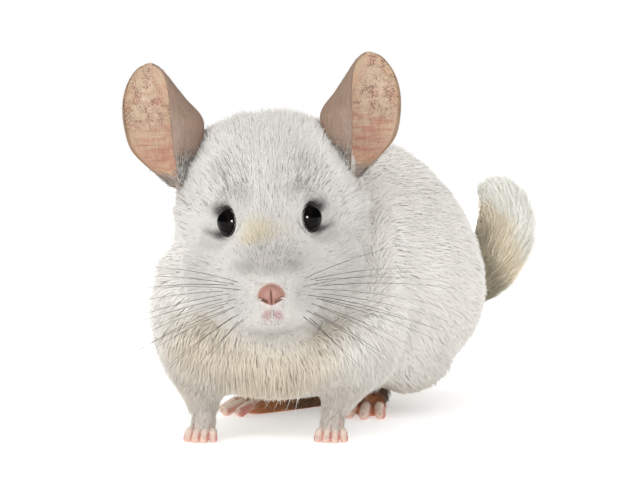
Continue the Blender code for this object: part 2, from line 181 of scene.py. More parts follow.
def moved(matrix, points):
    """Points put through a 4x4 matrix."""
    m = np.array(matrix, float)
    return np.asarray(points, float) @ m[:3, :3].T + m[:3, 3]


def turned(matrix, vectors):
    return np.asarray(vectors, float) @ np.array(matrix, float)[:3, :3].T


def field(points, size, seed=0.0):
    """A smooth vector noise at the points, about -1 to 1, that changes over this size."""
    return np.array([noise.noise_vector(Vector(p / size) + Vector((seed, -seed, 2 * seed))) for p in points])


# The frame of the head, and of the whole animal

def middle_of(node):
    low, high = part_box(node)
    return (low + high) / 2


HEAD_TURN = Matrix.Rotation(HEAD_YAW, 4, "Z") @ Matrix.Rotation(-HEAD_ROLL, 4, "Y")
EYES_MIDDLE = Matrix.Translation(EYE_LINE_CENTRE) @ HEAD_TURN @ Vector((0, EYE_PLACE[1], EYE_PLACE[2]))
SHIFT = (middle_of("eye_left") + middle_of("eye_right")) / 2 - EYES_MIDDLE
HEAD_PLACE = Matrix.Translation(Vector(EYE_LINE_CENTRE) + SHIFT) @ HEAD_TURN
HEAD_BACK = HEAD_PLACE.inverted()


def shifted(points):
    """Points of the solids' own drawing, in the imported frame."""
    return np.asarray(points, float) + np.array(SHIFT)


def in_drawing(points):
    """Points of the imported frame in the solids' own drawing, in millimetres."""
    return (points - np.array(SHIFT)) / MM


def in_head(points):
    """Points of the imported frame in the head's frame, in millimetres."""
    return moved(HEAD_BACK, points) / MM


def eye_centre(side):
    return np.array(HEAD_PLACE @ Vector((side * EYE_PLACE[0], EYE_PLACE[1], EYE_PLACE[2])))


# How far the eyes look to the side, and the ring of the lids: its radius and its height over the
# eye's middle. What lies lower than the last height is behind the eye.
EYE_TURN = math.radians(55)
EYE_RIM_RADIUS = 0.0060
EYE_RIM_HEIGHT = 0.0022
BEHIND_EYE = -0.006


def eye_axis(side):
    local = Vector((side * math.sin(EYE_TURN), -math.cos(EYE_TURN), 0.04)).normalized()
    return np.array(HEAD_TURN.to_3x3() @ local)


def about_eye(points, side):
    """Height above the eye's middle along its axis, the distance from that axis, and its direction."""
    away = points - eye_centre(side)
    height = away @ eye_axis(side)
    out = away - height[:, None] * eye_axis(side)
    reach = np.linalg.norm(out, axis=1)
    return height, reach, out / np.maximum(reach, 1e-9)[:, None]


# Meshes

def linked(name, data):
    """An object of this data, in the scene."""
    made = bpy.data.objects.new(name, data)
    bpy.context.scene.collection.objects.link(made)
    return made


def make_mesh(name, points, faces):
    """An object from arrays of points and of equal faces."""
    faces = np.asarray(faces, np.int32)
    mesh = bpy.data.meshes.new(name)
    mesh.vertices.add(len(points))
    mesh.vertices.foreach_set("co", np.asarray(points, np.float32).ravel())
    mesh.loops.add(faces.size)
    mesh.loops.foreach_set("vertex_index", faces.ravel())
    mesh.polygons.add(len(faces))
    mesh.polygons.foreach_set("loop_start", np.arange(0, faces.size, faces.shape[1], dtype=np.int32))
    mesh.polygons.foreach_set("use_smooth", np.ones(len(faces), bool))
    mesh.update(calc_edges=True)
    return linked(name, mesh)


def from_bmesh(name, shape):
    bmesh.ops.recalc_face_normals(shape, faces=shape.faces)
    mesh = bpy.data.meshes.new(name)
    shape.to_mesh(mesh)
    shape.free()
    return linked(name, mesh)


def points_of(made):
    co = np.zeros(len(made.data.vertices) * 3, np.float32)
    made.data.vertices.foreach_get("co", co)
    return co.reshape(-1, 3).astype(float)


def normals_of(made):
    co = np.zeros(len(made.data.vertices) * 3, np.float32)
    made.data.vertex_normals.foreach_get("vector", co)
    return co.reshape(-1, 3).astype(float)


def place_points(made, points):
    made.data.vertices.foreach_set("co", np.asarray(points, np.float32).ravel())
    made.data.update()


def apply_modifiers(made):
    bpy.context.view_layer.update()
    graph = bpy.context.evaluated_depsgraph_get()
    mesh = bpy.data.meshes.new_from_object(made.evaluated_get(graph), depsgraph=graph)
    made.modifiers.clear()
    made.data = mesh
    return made


def soften(made, rounds, factor=0.5):
    step = made.modifiers.new("soften", "SMOOTH")
    step.factor, step.iterations = factor, rounds
    return apply_modifiers(made)


def remesh(made, voxel, rounds):
    """One closed surface round overlapping ones."""
    step = made.modifiers.new("fuse", "REMESH")
    step.mode, step.voxel_size = "VOXEL", voxel
    apply_modifiers(made)
    return soften(made, rounds) if rounds else made


def join(name, *parts):
    """One object of several, which are removed."""
    shape = bmesh.new()
    for part in parts:
        shape.from_mesh(part.data)
        bpy.data.objects.remove(part)
    return from_bmesh(name, shape)


def add_ball(shape, place, sizes, segments):
    """A ball at this place, a matrix, with its own size each way."""
    place = place @ Matrix.Diagonal((*sizes, 1))
    bmesh.ops.create_uvsphere(shape, u_segments=segments, v_segments=segments // 2, radius=1, matrix=place)


def add_beads(shape, run, scale=1.0, spacing=0.2, steps=8):
    """Overlapping balls along a run of points with radii."""
    last = None
    for x, y, z, radius in catmull_rom(run, steps):
        point = Vector((x, y, z))
        if last is None or (point - last).length > spacing * radius * scale:
            add_ball(shape, Matrix.Translation(point), (radius * scale,) * 3, 16)
            last = point


def faces_of(made):
    return [tuple(face.vertices) for face in made.data.polygons]


def tree_of(made):
    return BVHTree.FromPolygons([Vector(p) for p in points_of(made)], faces_of(made))


def nearest(tree, points):
    """Distance to the surface, and the face there, for each point."""
    found = [tree.find_nearest(Vector(p)) for p in points]
    return np.array([f[3] for f in found]), np.array([f[2] for f in found])


# Skin

def node_copy(names, grow):
    """One mesh of these solids, grown a little so that the gaps between them close."""
    shape = bmesh.new()
    for name in names:
        part = bmesh.new()
        part.from_mesh(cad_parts[name].data)
        bmesh.ops.remove_doubles(part, verts=part.verts, dist=1e-6)
        part.normal_update()
        normals = [vert.normal.copy() for vert in part.verts]
        for vert, normal in zip(part.verts, normals):
            vert.co += normal * grow
        passing = bpy.data.meshes.new("passing")
        part.to_mesh(passing)
        part.free()
        shape.from_mesh(passing)
        bpy.data.meshes.remove(passing)
    return from_bmesh("outline", shape)


def section(angles, half, top, level, bottom, crown, base):
    """A rounded upright section, widest at the level."""
    c, s = np.cos(angles), np.sin(angles)
    power = np.where(s > 0, 2 / crown, 2 / base)
    reach = np.where(s > 0, top - level, level - bottom)
    return half * np.sign(c) * np.abs(c) ** power, level + reach * np.sign(s) * np.abs(s) ** power


def head_shape():
    """The outline of the head, with its cheeks."""
    sides = 64
    angles = 2 * math.pi * np.arange(sides) / sides
    rings = []
    for y, half, top, level, bottom, crown in catmull_rom(HEAD, 5):
        x, z = section(angles, half, top, level, bottom, crown, JAW_SQUARENESS)
        rings.append(np.stack([x, np.full(sides, y), z], 1))
    shape = bmesh.new()
    rows = [[shape.verts.new(p) for p in moved(HEAD_PLACE, ring)] for ring in rings]
    for near, far in zip(rows, rows[1:]):
        for i in range(sides):
            j = (i + 1) % sides
            shape.faces.new((near[i], near[j], far[j], far[i]))
    shape.faces.new(rows[0])
    shape.faces.new(rows[-1])
    for side in (1, -1):
        place = Matrix.Translation((side * CHEEK_PLACE[0], *CHEEK_PLACE[1:]))
        add_ball(shape, HEAD_PLACE @ place, CHEEK_SIZE, 32)
    return remesh(from_bmesh("head_shape", shape), 0.0012, 5)


def ear_nearness(h):
    """1 at the foot of an ear, 0 away from it, for points in the head's frame in millimetres."""
    x, y, z = np.abs(h[:, 0]), h[:, 1], h[:, 2]
    along = np.clip((z - 12) / 28, 0, 1)
    away = np.sqrt((x - (37 - 12 * along)) ** 2 + (y - 20) ** 2 + (z - 12 - 28 * along) ** 2)
    return 1 - smoothstep(5, 13, away)


def head_coat(points):
    """How deep the coat lies on the head, by place."""
    h = in_head(points)
    x, y, z = np.abs(h[:, 0]), h[:, 1], h[:, 2]
    depth = 1.2 + 1.1 * smoothstep(-36, -22, y) + 1.2 * smoothstep(-22, 2, y) + 1.6 * smoothstep(0, 26, y)
    depth += 1.2 * smoothstep(16, 34, x) + 1.0 * smoothstep(-38, -46, z) * smoothstep(-34, -18, y)
    return depth * (1 - 0.45 * ear_nearness(h)) * MM


def foreleg_nearness(points):
    """1 on the lower forelegs, 0 on the body."""
    close = np.zeros(len(points))
    for run in FORELEGS.values():
        line = shifted(catmull_rom(run, 6))
        away = np.min(np.linalg.norm(points[:, None, :] - line[None, 6:, :], axis=2), axis=1)
        close = np.maximum(close, 1 - smoothstep(0.009, 0.026, away))
    return close * (1 - smoothstep(0.016, 0.050, points[:, 2]))


def body_coat(points):
    """How deep the coat lies on the body, by place."""
    depth = 7.0 - 3.0 * (1 - smoothstep(0.012, 0.030, points[:, 2]))
    near = foreleg_nearness(points)
    return (depth * (1 - near) + 2.2 * near) * MM


def coat_of(points):
    share = front_of_neck(points)
    return head_coat(points) * share + body_coat(points) * (1 - share)


def sink(made, depth, rounds=4):
    """Draws a surface in by the coat's depth, in small smoothed steps."""
    for _ in range(rounds):
        place_points(made, points_of(made) - normals_of(made) * (depth(points_of(made)) / rounds)[:, None])
        soften(made, 2)
    return made


def tail_shape(scale):
    """The flesh of the tail, which ends before the tips of its hair."""
    shape = bmesh.new()
    run = [(*shifted(row[:3]), row[3]) for row in TAIL[:-1]]
    add_beads(shape, run, scale)
    return from_bmesh("tail_shape", shape)


def make_outline():
    """The outline of the coat's tips, of head and body together: the solids with the finer head."""
    return remesh(join("outline", node_copy(BODY_NODES, 0.0003), head_shape()), 0.0014, 6)


def duplicate(made):
    return linked(made.name + "_again", made.data.copy())


def shape_eye_basins(points):
    """Draws the skin to the rims of the eyes, and behind them inside."""
    for side in (1, -1):
        height, reach, _ = about_eye(points, side)
        share = (1 - smoothstep(EYE_RIM_RADIUS, 0.0135, reach)) * smoothstep(-0.010, -0.004, height)
        inside = 1 - smoothstep(EYE_RIM_RADIUS - 0.0014, EYE_RIM_RADIUS - 0.0002, reach)
        target = EYE_RIM_HEIGHT - 0.0022 * inside
        points = points + (share * (target - height))[:, None] * eye_axis(side)
    return points


def make_skin():
    """The skin of head, body and tail, and the outlines of the coat's tips."""
    outline = make_outline()
    sunk = sink(duplicate(outline), coat_of)
    skin = remesh(join("skin", sunk, tail_shape(TAIL_CORE)), 0.0011, 3)
    place_points(skin, shape_eye_basins(points_of(skin)))
    soften(skin, 2)
    place_points(skin, shape_eye_basins(points_of(skin)))
    tips = remesh(join("tips", outline, node_copy(TAIL_NODES, 0.0003)), 0.0020, 1)
    return skin, tips


# Colours

COAT_WHITE = (239, 236, 230)
HEAD_WHITE = (230, 227, 222)
CHEST_CREAM = (214, 201, 180)
# Painted shade: the coat darker low on the body.
LOW_BODY_SHADE = (218, 214, 206)
# Painted shade: darker and creamier under the belly.
BELLY_SHADE = (190, 181, 163)
LEG_GREY = (222, 216, 207)
TAIL_CREAM = (255, 252, 244)
TAIL_MIDDLE = (244, 232, 207)
TAIL_DARK = (168, 158, 134)
DARK_HAIR = (96, 91, 86)
HINDFOOT_BROWN = (204, 138, 88)

# Marks on the face, in millimetres in the head's frame: X, Z, half sizes, colour, strength,
# and whether the other side has it too.
FACE_MARKS = (
    (-4.5, -5.5, 4.6, 4.2, (234, 222, 188), 0.70, False),
    (-7.5, -9.0, 4.0, 2.0, (228, 215, 182), 0.55, False),
    (1.5, -6.0, 6.0, 3.0, (226, 216, 192), 0.40, False),
    (0.0, -15.5, 12.0, 5.0, (196, 191, 186), 0.50, False),
    (-9.0, -18.8, 4.5, 2.6, (150, 143, 136), 0.45, False),
    (0.5, -19.5, 4.0, 2.4, (160, 154, 148), 0.35, False),
    (8.0, -18.5, 4.0, 2.4, (158, 152, 146), 0.40, False),
    # The next four marks, near black and grey round the outer corners of the eyes, are painted shade.
    (19.8, 3.6, 2.6, 2.6, (24, 23, 22), 0.97, True),
    (17.8, 5.6, 2.4, 1.6, (30, 28, 27), 0.92, True),
    (19.8, -5.2, 2.6, 2.0, (34, 32, 31), 0.93, True),
    (22.8, -6.0, 2.6, 1.3, (96, 92, 88), 0.55, True),
    (12.5, 13.0, 4.5, 5.0, (200, 195, 190), 0.40, True),
    (12.5, -31.0, 6.5, 7.0, (196, 193, 188), 0.45, True),
    (25.6, 33.0, 2.0, 8.0, (150, 146, 141), 0.60, True),
    (30.0, 22.0, 2.2, 6.0, (140, 136, 130), 0.65, True),
    (36.0, 11.0, 4.0, 5.0, (160, 152, 144), 0.60, True),
    (38.5, 9.0, 3.5, 4.5, (150, 134, 120), 0.70, True),
    (0.0, -44.0, 15.0, 5.0, (182, 178, 168), 0.70, False),
    (26.0, -22.0, 9.0, 12.0, (206, 202, 198), 0.55, True),
)

# Places on the face with single dark hairs among the pale ones: X, Z, half sizes, how many of them.
GRIZZLED = (
    (14.0, 14.0, 8.0, 9.0, 0.20),
    (0.0, -14.0, 11.0, 6.0, 0.20),
    (0.0, 8.0, 7.0, 10.0, 0.08),
    (31.0, 3.0, 9.0, 9.0, 0.07),
    (27.0, 30.0, 4.0, 10.0, 0.18),
    (13.0, -26.0, 7.0, 8.0, 0.06),
)


# The way in which the cream side of the tail looks.
TAIL_CREAM_SIDE = (0.85, 0.3, 0.45)


def blend(base, colour, share):
    return base + (linear(colour) - base) * np.clip(share, 0, 1)[:, None]


def front_of_neck(points):
    """1 on the head, 0 behind it, changing over the slanting border between them."""
    h = in_head(points)
    return 1 - smoothstep(-6, 8, (h[:, 1] + 19) * 0.71 - (h[:, 2] + 49.5) * 0.705)


def face_share(points):
    """1 on the face, 0 behind it."""
    return front_of_neck(points) * (1 - smoothstep(14, 30, in_head(points)[:, 1]))


def tail_line():
    return catmull_rom([(*shifted(row[:3]), row[3]) for row in TAIL], 12)


def along_tail(points):
    """How far along the tail each point is, 0 to 1, with the axis there and the way out from it."""
    line = tail_line()
    tree = KDTree(len(line))
    for i, row in enumerate(line):
        tree.insert(row[:3], i)
    tree.balance()
    index = np.array([tree.find(p)[1] for p in points])
    axis = unit(np.gradient(line[:, :3], axis=0))[index]
    away = points - line[index, :3]
    return index / (len(line) - 1), axis, unit(away - dot(away, axis) * axis), np.linalg.norm(away, axis=1)


def coat_colour(points, tail_share):
    """The markings, with painted shade low on the body, under the belly and round the corners of the eyes;
    the same for skin and coat.
    """
    h = in_head(points)
    m = in_drawing(points)
    on_head = front_of_neck(points)
    colour = plain(COAT_WHITE, len(points))
    chest = (1 - smoothstep(-2, 22, m[:, 1])) * (1 - smoothstep(44, 62, m[:, 2]))
    chest *= 1 - smoothstep(22, 44, np.abs(m[:, 0] + 3))
    # Painted shade: the body darker towards the floor.
    colour = blend(colour, LOW_BODY_SHADE, 0.7 * (1 - smoothstep(18, 70, m[:, 2])))
    colour = blend(colour, CHEST_CREAM, 0.85 * chest)
    # Painted shade under the belly, darker and creamier near the floor.
    low = 1 - smoothstep(9, 24, m[:, 2])
    colour = blend(colour, BELLY_SHADE, 0.8 * low)
    colour = blend(colour, LEG_GREY, 0.7 * foreleg_nearness(points))
    colour = blend(colour, HEAD_WHITE, on_head)
    for x, z, rx, rz, mark, strength, both in FACE_MARKS:
        for side in ((1, -1) if both else (1,)):
            away = ((h[:, 0] - side * x) / rx) ** 2 + ((h[:, 2] - z) / rz) ** 2
            share = strength * np.exp(-0.9 * away**1.3) * on_head * (1 - smoothstep(16, 28, h[:, 1]))
            colour = blend(colour, mark, share)
    patches = field(points, 0.013, 3.1)[:, :1] * 0.05 + field(points, 0.005, 7.7)[:, :1] * 0.04
    colour = colour * (1 + patches)
    if tail_share.any():
        place, _, out, _ = along_tail(points)
        upper = 0.5 + 0.5 * np.clip(out @ unit(np.array(TAIL_CREAM_SIDE)), -1, 1)
        cream = smoothstep(0.26, 0.72, place + 0.40 * (upper - 0.5))
        tail = plain(TAIL_DARK, len(points))
        tail = blend(tail, TAIL_MIDDLE, smoothstep(0.1, 0.5, cream))
        tail = blend(tail, TAIL_CREAM, smoothstep(0.5, 1.0, cream))
        colour = colour + (tail - colour) * tail_share[:, None]
    return np.clip(colour, 0.005, 0.98)


def tail_part(points):
    """1 on the tail, 0 on the body."""
    place, _, _, away = along_tail(points)
    return smoothstep(0.10, 0.20, place) * (away < 0.014)


def grizzle(points):
    """The share of dark hairs at each place."""
    h = in_head(points)
    share = np.full(len(points), 0.008)
    for x, z, rx, rz, amount in GRIZZLED:
        away = ((np.abs(h[:, 0]) - x) / rx) ** 2 + ((h[:, 2] - z) / rz) ** 2
        share = np.maximum(share, amount * np.exp(-0.8 * away**1.5) * (h[:, 1] < 30))
    return share * front_of_neck(points)


def set_colours(made, colours, name="coat"):
    layer = made.data.color_attributes.new(name, "FLOAT_COLOR", "POINT")
    rgba = np.ones((len(colours), 4), np.float32)
    rgba[:, :3] = colours
    layer.data.foreach_set("color", rgba.ravel())


# Materials

# The middle values of a noise, which take up the whole of what it changes.
NOISE_RANGE = (0.3, 0.7)


class Nodes:
    """A short way to write a material's nodes."""

    def __init__(self, name):
        self.made = bpy.data.materials.new(name)
        self.made.use_nodes = True
        self.tree = self.made.node_tree
        self.shader = self.tree.nodes["Principled BSDF"]

    def add(self, kind, *links, **values):
        node = self.tree.nodes.new(kind)
        for key, value in values.items():
            if hasattr(node, key):
                setattr(node, key, value)
            else:
                node.inputs[key.replace("_", " ")].default_value = value
        for socket, source in links:
            self.tree.links.new(source, node.inputs[socket])
        return node

    def into(self, socket, source):
        self.tree.links.new(source, self.shader.inputs[socket])

    def place(self):
        return self.add("ShaderNodeTexCoord").outputs["Object"]

    def grain(self, scale, detail=2.0, roughness=0.5):
        node = self.add("ShaderNodeTexNoise", ("Vector", self.place()))
        node.inputs["Scale"].default_value = scale
        node.inputs["Detail"].default_value = detail
        node.inputs["Roughness"].default_value = roughness
        return node.outputs["Fac"]

    def ranged(self, source, low, high, start=0.0, end=1.0):
        node = self.add("ShaderNodeMapRange", ("Value", source))
        node.inputs["From Min"].default_value, node.inputs["From Max"].default_value = start, end
        node.inputs["To Min"].default_value, node.inputs["To Max"].default_value = low, high
        return node.outputs["Result"]

    def scaled(self, colour, factor):
        node = self.add("ShaderNodeVectorMath", (0, colour), operation="SCALE")
        self.tree.links.new(factor, node.inputs["Scale"])
        return node.outputs["Vector"]

    def mixed(self, share, one, other):
        """Mixes one colour, a socket, with another, a socket or a colour."""
        node = self.add("ShaderNodeMix", data_type="RGBA")
        self.tree.links.new(share, node.inputs["Factor"])
        self.tree.links.new(one, node.inputs["A"])
        if isinstance(other, tuple):
            node.inputs["B"].default_value = (*linear(other), 1)
        else:
            self.tree.links.new(other, node.inputs["B"])
        return node.outputs["Result"]

    def bump(self, height, strength, distance):
        node = self.add("ShaderNodeBump", ("Height", height))
        node.inputs["Strength"].default_value, node.inputs["Distance"].default_value = strength, distance
        self.into("Normal", node.outputs["Normal"])

    def attribute(self, name, output="Color"):
        return self.add("ShaderNodeAttribute", attribute_name=name).outputs[output]

    def tint(self, colour):
        """A socket with this linear colour."""
        node = self.add("ShaderNodeRGB")
        node.outputs[0].default_value = (*colour, 1)
        return node.outputs[0]

    def shaded(self, colour, speckle, shade):
        """The colour, made darker and lighter by the noise."""
        return self.scaled(colour, self.ranged(speckle, *shade, *NOISE_RANGE))

    def finish(self, colour, speckle, shade, pits, rough, relief, strength, depth, **inputs):
        """Colour, roughness and bump that each vary by a noise of their own."""
        self.into("Base Color", self.shaded(colour, speckle, shade))
        self.into("Roughness", self.ranged(pits, *rough, *NOISE_RANGE))
        self.bump(relief, strength, depth)
        for key, value in inputs.items():
            self.shader.inputs[key.replace("_", " ")].default_value = value
        return self.made


def coat_material(name, shade=(0.9, 1.08), grain=700.0):
    n = Nodes(name)
    return n.finish(
        n.attribute("coat"), n.grain(grain, 3.0, 0.6), shade, n.grain(grain * 0.6), (0.78, 0.95),
        n.grain(grain * 3), 0.15, 0.0002, Specular_IOR_Level=0.25, Sheen_Weight=0.15, Sheen_Roughness=0.5,
    )


def claw_material():
    """Pale horn."""
    n = Nodes("claw")
    return n.finish(
        n.tint(linear((226, 204, 188))), n.grain(1500.0, 3.0, 0.6), (0.85, 1.12), n.grain(1050.0),
        (0.425, 0.575), n.grain(3000.0), 0.3, 0.0002, Specular_IOR_Level=0.5,
    )


def skin_material(name, rough=0.65, grain=900.0, specular=0.3, bump=0.3):
    """Skin that takes its colour from the markings and painted shade in its colour attribute, with fine
    wrinkles.
    """
    n = Nodes(name)
    return n.finish(
        n.attribute("coat"), n.grain(grain, 4.0, 0.6), (0.86, 1.12), n.grain(grain * 0.5),
        (rough * 0.85, min(1.0, rough * 1.2)), n.grain(grain * 1.6, 4.0), bump, 0.0003,
        Specular_IOR_Level=specular,
    )


def ear_material():
    """Bare ear skin: flushed wrinkles, freckles and fine streaks over the colours of its two sides."""
    n = Nodes("ear_skin")
    base = n.attribute("coat")
    masks = n.add("ShaderNodeSeparateColor", ("Color", n.attribute("masks")))
    sheet = n.attribute("sheet", "Vector")

    def share(value, mask):
        return n.add("ShaderNodeMath", (0, value), (1, masks.outputs[mask]), operation="MULTIPLY").outputs[0]

    def streaks(across, along, detail=3.0):
        spread = n.add("ShaderNodeVectorMath", (0, sheet), operation="MULTIPLY")
        spread.inputs[1].default_value = (across, along, 1.0)
        node = n.add("ShaderNodeTexNoise", ("Vector", spread.outputs["Vector"]))
        node.inputs["Scale"].default_value = 1.0
        node.inputs["Detail"].default_value = detail
        node.inputs["Distortion"].default_value = 0.5
        return node.outputs["Fac"]

    wrinkles = share(n.ranged(streaks(5.0, 46.0), 0.0, 1.0, 0.50, 0.68), "Green")
    flush = share(n.ranged(n.grain(150.0, 4.0, 0.65), 0.0, 1.0, 0.46, 0.66), "Blue")
    freckles = n.add("ShaderNodeTexVoronoi", ("Vector", n.place()), feature="F1")
    freckles.inputs["Scale"].default_value = 1500.0
    dots = n.ranged(freckles.outputs["Distance"], 1.0, 0.0, 0.30, 0.62)
    patchy = n.ranged(n.grain(300.0, 4.0, 0.7), 0.0, 1.0, 0.42, 0.60)
    cluster = n.add("ShaderNodeMath", (0, dots), (1, patchy), operation="MULTIPLY").outputs[0]
    colour = n.mixed(flush, base, (200, 138, 118))
    colour = n.mixed(wrinkles, colour, (182, 112, 96))
    colour = n.mixed(share(cluster, "Red"), colour, (88, 60, 42))
    speckle = n.grain(1300.0, 4.0, 0.65)
    colour = n.shaded(colour, speckle, (0.88, 1.10))
    relief = n.add("ShaderNodeMath", (0, wrinkles), (1, speckle), operation="ADD").outputs[0]
    return n.finish(
        colour, streaks(70.0, 9.0), (0.86, 1.12), n.grain(500.0), (0.5, 0.75), relief, 0.35, 0.0004,
        Specular_IOR_Level=0.3,
    )


# Coat

# A tuft has a root, three points round its bend and a tip. Two of its six faces look to the skin.
# It keeps its first way for the first share of its length and turns to the second for the rest.
TUFT_FACES = np.array(((0, 1, 2), (0, 2, 3), (0, 3, 1), (4, 2, 1), (4, 3, 2), (4, 1, 3)))
UNDERSIDE = (2, 5)
FIRST_SHARE, SECOND_SHARE = 0.55, 0.45
TUFT_SINK = 0.0006
# Tones of a tuft's five points, root to tip: painted shade, darkest at the root deep in the coat and
# lightest at the tip.
TUFT_SHADE_TONES = (0.95, 0.98, 0.985, 0.98, 1.01)
LOWEST_TUFT = 0.0005

# Half the width of each tuft's patch on the map, and the places of its five points there.
PATCH = 0.0015
TUFT_PATCH = np.array(((0, -PATCH), (-PATCH, 0), (0, 0), (PATCH, 0), (0, PATCH)))


def turn_about(vectors, axes, angles):
    """Vectors turned about unit axes at right angles to them."""
    c, s = np.cos(angles)[:, None], np.sin(angles)[:, None]
    return vectors * c + np.cross(axes, vectors) * s


def tufts(
    roots, normals, flow, depth, width, lean, jitter, colour, patches,
    bend=None, dark=0.0, reach=3.2, mess=0.0,
):
    """Closed, bent, tapering tufts from the roots: their points, colours, map places and normals.

    The lean is the rise over the skin of both stretches, in degrees, and the flow is the way they
    run along it. A tuft is at most `reach` times as long as it is high.
    """
    count = len(roots)
    normals, flow = unit(normals), unit(flow - dot(flow, normals) * normals)
    swirl = field(roots, 0.018, 1.3)[:, 0] * 0.40 + field(roots, 0.006, 5.9)[:, 1] * 0.25
    flow = turn_about(flow, normals, swirl + RANDOM.normal(0, jitter, count))
    waves = field(roots, 0.010, 9.1)
    low = np.radians(lean[0]) * (1 + 0.10 * RANDOM.normal(0, 1, count) + 0.14 * waves[:, 2])
    high = np.radians(lean[1]) * (1 + 0.25 * RANDOM.normal(0, 1, count) + 0.25 * waves[:, 1])
    low, high = np.clip(low + 0.35 * mess, 0.1, 1.45), np.clip(high + 0.6 * mess, 0.05, 1.3)
    rise = FIRST_SHARE * np.sin(low) + SECOND_SHARE * np.sin(high)
    length = depth / rise * RANDOM.uniform(0.80, 1.08, count)
    length = np.minimum(length, depth * reach)
    first = flow * np.cos(low)[:, None] + normals * np.sin(low)[:, None]
    start = roots - normals * np.minimum(TUFT_SINK, 0.3 * depth)[:, None]
    middle = start + first * (FIRST_SHARE * length)[:, None]
    if bend is not None:
        flow = bend(middle)
        flow = unit(flow - dot(flow, normals) * normals)
    tip_flow = turn_about(flow, normals, 0.6 * swirl + RANDOM.normal(0, jitter * 0.9, count))
    second = tip_flow * np.cos(high)[:, None] + normals * np.sin(high)[:, None]
    tip = middle + second * (SECOND_SHARE * length)[:, None]
    across = unit(np.cross(first, normals))
    over = np.cross(across, first)
    width = width * RANDOM.uniform(0.75, 1.25, count)
    ring = []
    for sideways, upward in ((1.0, 0.0), (-1.0, 0.0), (0.0, 0.55)):
        ring.append(middle + across * (sideways * width)[:, None] + over * (upward * width)[:, None])
    points = np.stack([start, ring[0], ring[2], ring[1], tip], 1)
    points[:, :, 2] = np.maximum(points[:, :, 2], LOWEST_TUFT)
    soft = unit(0.75 * normals + 0.25 * over)
    shading = np.stack([soft, unit(soft + 0.30 * across), soft, unit(soft - 0.30 * across), soft], 1)
    shade = RANDOM.normal(1, 0.022, (count, 1)) * (1 + RANDOM.normal(0, 0.008, (count, 3)))
    shaded = colour * shade
    grey = (RANDOM.random(count) < dark)[:, None]
    shaded = np.where(grey, shaded * 0.45 + 0.55 * linear(DARK_HAIR), shaded)
    colours = np.clip(shaded[:, None, :] * np.array(TUFT_SHADE_TONES)[None, :, None], 0.004, 0.97)
    places = patches[:, None, :] + TUFT_PATCH[None, :, :]
    return points, colours, places, shading


def coat_piece(name, parts, material):
    """One mesh of tufts, with its colours and its map."""
    points, colours, places, shading = (np.concatenate(arrays) for arrays in zip(*parts))
    count = len(points)
    faces = (TUFT_FACES[None] + 5 * np.arange(count)[:, None, None]).reshape(-1, 3)
    made = make_mesh(name, points.reshape(-1, 3), faces)
    set_colours(made, colours.reshape(-1, 3))
    layer = made.data.uv_layers.new(name="OFBake")
    layer.data.foreach_set("uv", places.reshape(-1, 2)[faces.ravel()].astype(np.float32).ravel())
    corners = points[:, TUFT_FACES]
    own = unit(np.cross(corners[:, :, 1] - corners[:, :, 0], corners[:, :, 2] - corners[:, :, 0]))
    loops = shading[:, TUFT_FACES]
    loops[:, UNDERSIDE] = own[:, UNDERSIDE, None, :]
    made.data.normals_split_custom_set(loops.reshape(-1, 3).astype(np.float32))
    made.data.materials.append(material)
    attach(made, "root")
    print("coat", name, count, "tufts", len(faces), "triangles")
    return made


def sample(made, density):
    """Random places on a surface: points, normals and the corner weights that gave them."""
    mesh = made.data
    mesh.calc_loop_triangles()
    corners = np.zeros(len(mesh.loop_triangles) * 3, np.int32)
    mesh.loop_triangles.foreach_get("vertices", corners)
    corners = corners.reshape(-1, 3)
    points, normals = points_of(made), normals_of(made)
    a, b, c = (points[corners[:, i]] for i in range(3))
    area = np.linalg.norm(np.cross(b - a, c - a), axis=1) / 2
    wanted = area * density((a + b + c) / 3)
    number = np.floor(wanted + RANDOM.random(len(wanted))).astype(int)
    chosen = np.repeat(np.arange(len(corners)), number)
    u, v = RANDOM.random(len(chosen)), RANDOM.random(len(chosen))
    over = u + v > 1
    u[over], v[over] = 1 - u[over], 1 - v[over]
    weights = np.stack([1 - u - v, u, v], 1)[:, :, None]
    spots = np.sum(points[corners[chosen]] * weights, 1)
    return spots, unit(np.sum(normals[corners[chosen]] * weights, 1))


def unwrapped(made, faces):
    """A coarse copy of a skin laid out flat: a tree to find its faces, and each face's corners and map."""
    coarse = duplicate(made)
    thin = coarse.modifiers.new("thin", "DECIMATE")
    thin.ratio = min(1.0, faces / (2 * len(coarse.data.polygons)))
    thin.use_collapse_triangulate = True
    apply_modifiers(coarse)
    bpy.context.view_layer.objects.active = coarse
    for other in bpy.context.selected_objects:
        other.select_set(False)
    coarse.select_set(True)
    bpy.ops.object.mode_set(mode="EDIT")
    bpy.ops.mesh.select_all(action="SELECT")
    bpy.ops.uv.smart_project(angle_limit=math.radians(66), island_margin=0.004)
    bpy.ops.object.mode_set(mode="OBJECT")
    points = points_of(coarse)
    corners = np.array(faces_of(coarse))
    flat = np.zeros(len(coarse.data.loops) * 2, np.float32)
    coarse.data.uv_layers.active.data.foreach_get("uv", flat)
    flat = flat.reshape(-1, 3, 2)
    tree = tree_of(coarse)
    bpy.data.objects.remove(coarse)
    return tree, points[corners], flat


def map_places(layout, points):
    """Where the points lie on the flat layout of the skin."""
    tree, corners, flat = layout
    _, face = nearest(tree, points)
    a, b, c = (corners[face][:, i] for i in range(3))
    normal = np.cross(b - a, c - a)
    total = np.maximum(np.sum(normal * normal, 1), 1e-18)
    u = np.sum(np.cross(c - b, points - b) * normal, 1) / total
    v = np.sum(np.cross(a - c, points - c) * normal, 1) / total
    weights = np.clip(np.stack([u, v, 1 - u - v], 1), 0, 1)
    weights /= weights.sum(1, keepdims=True)
    return np.clip(np.sum(flat[face] * weights[:, :, None], 1), PATCH, 1 - PATCH)


# In the head's frame: the point from which the coat of the head spreads, and the nose's middle.
COAT_SPREAD = (0.0, -0.0290, -0.0270)
NOSE_MIDDLE = (0.0, -0.0360, -0.0280)


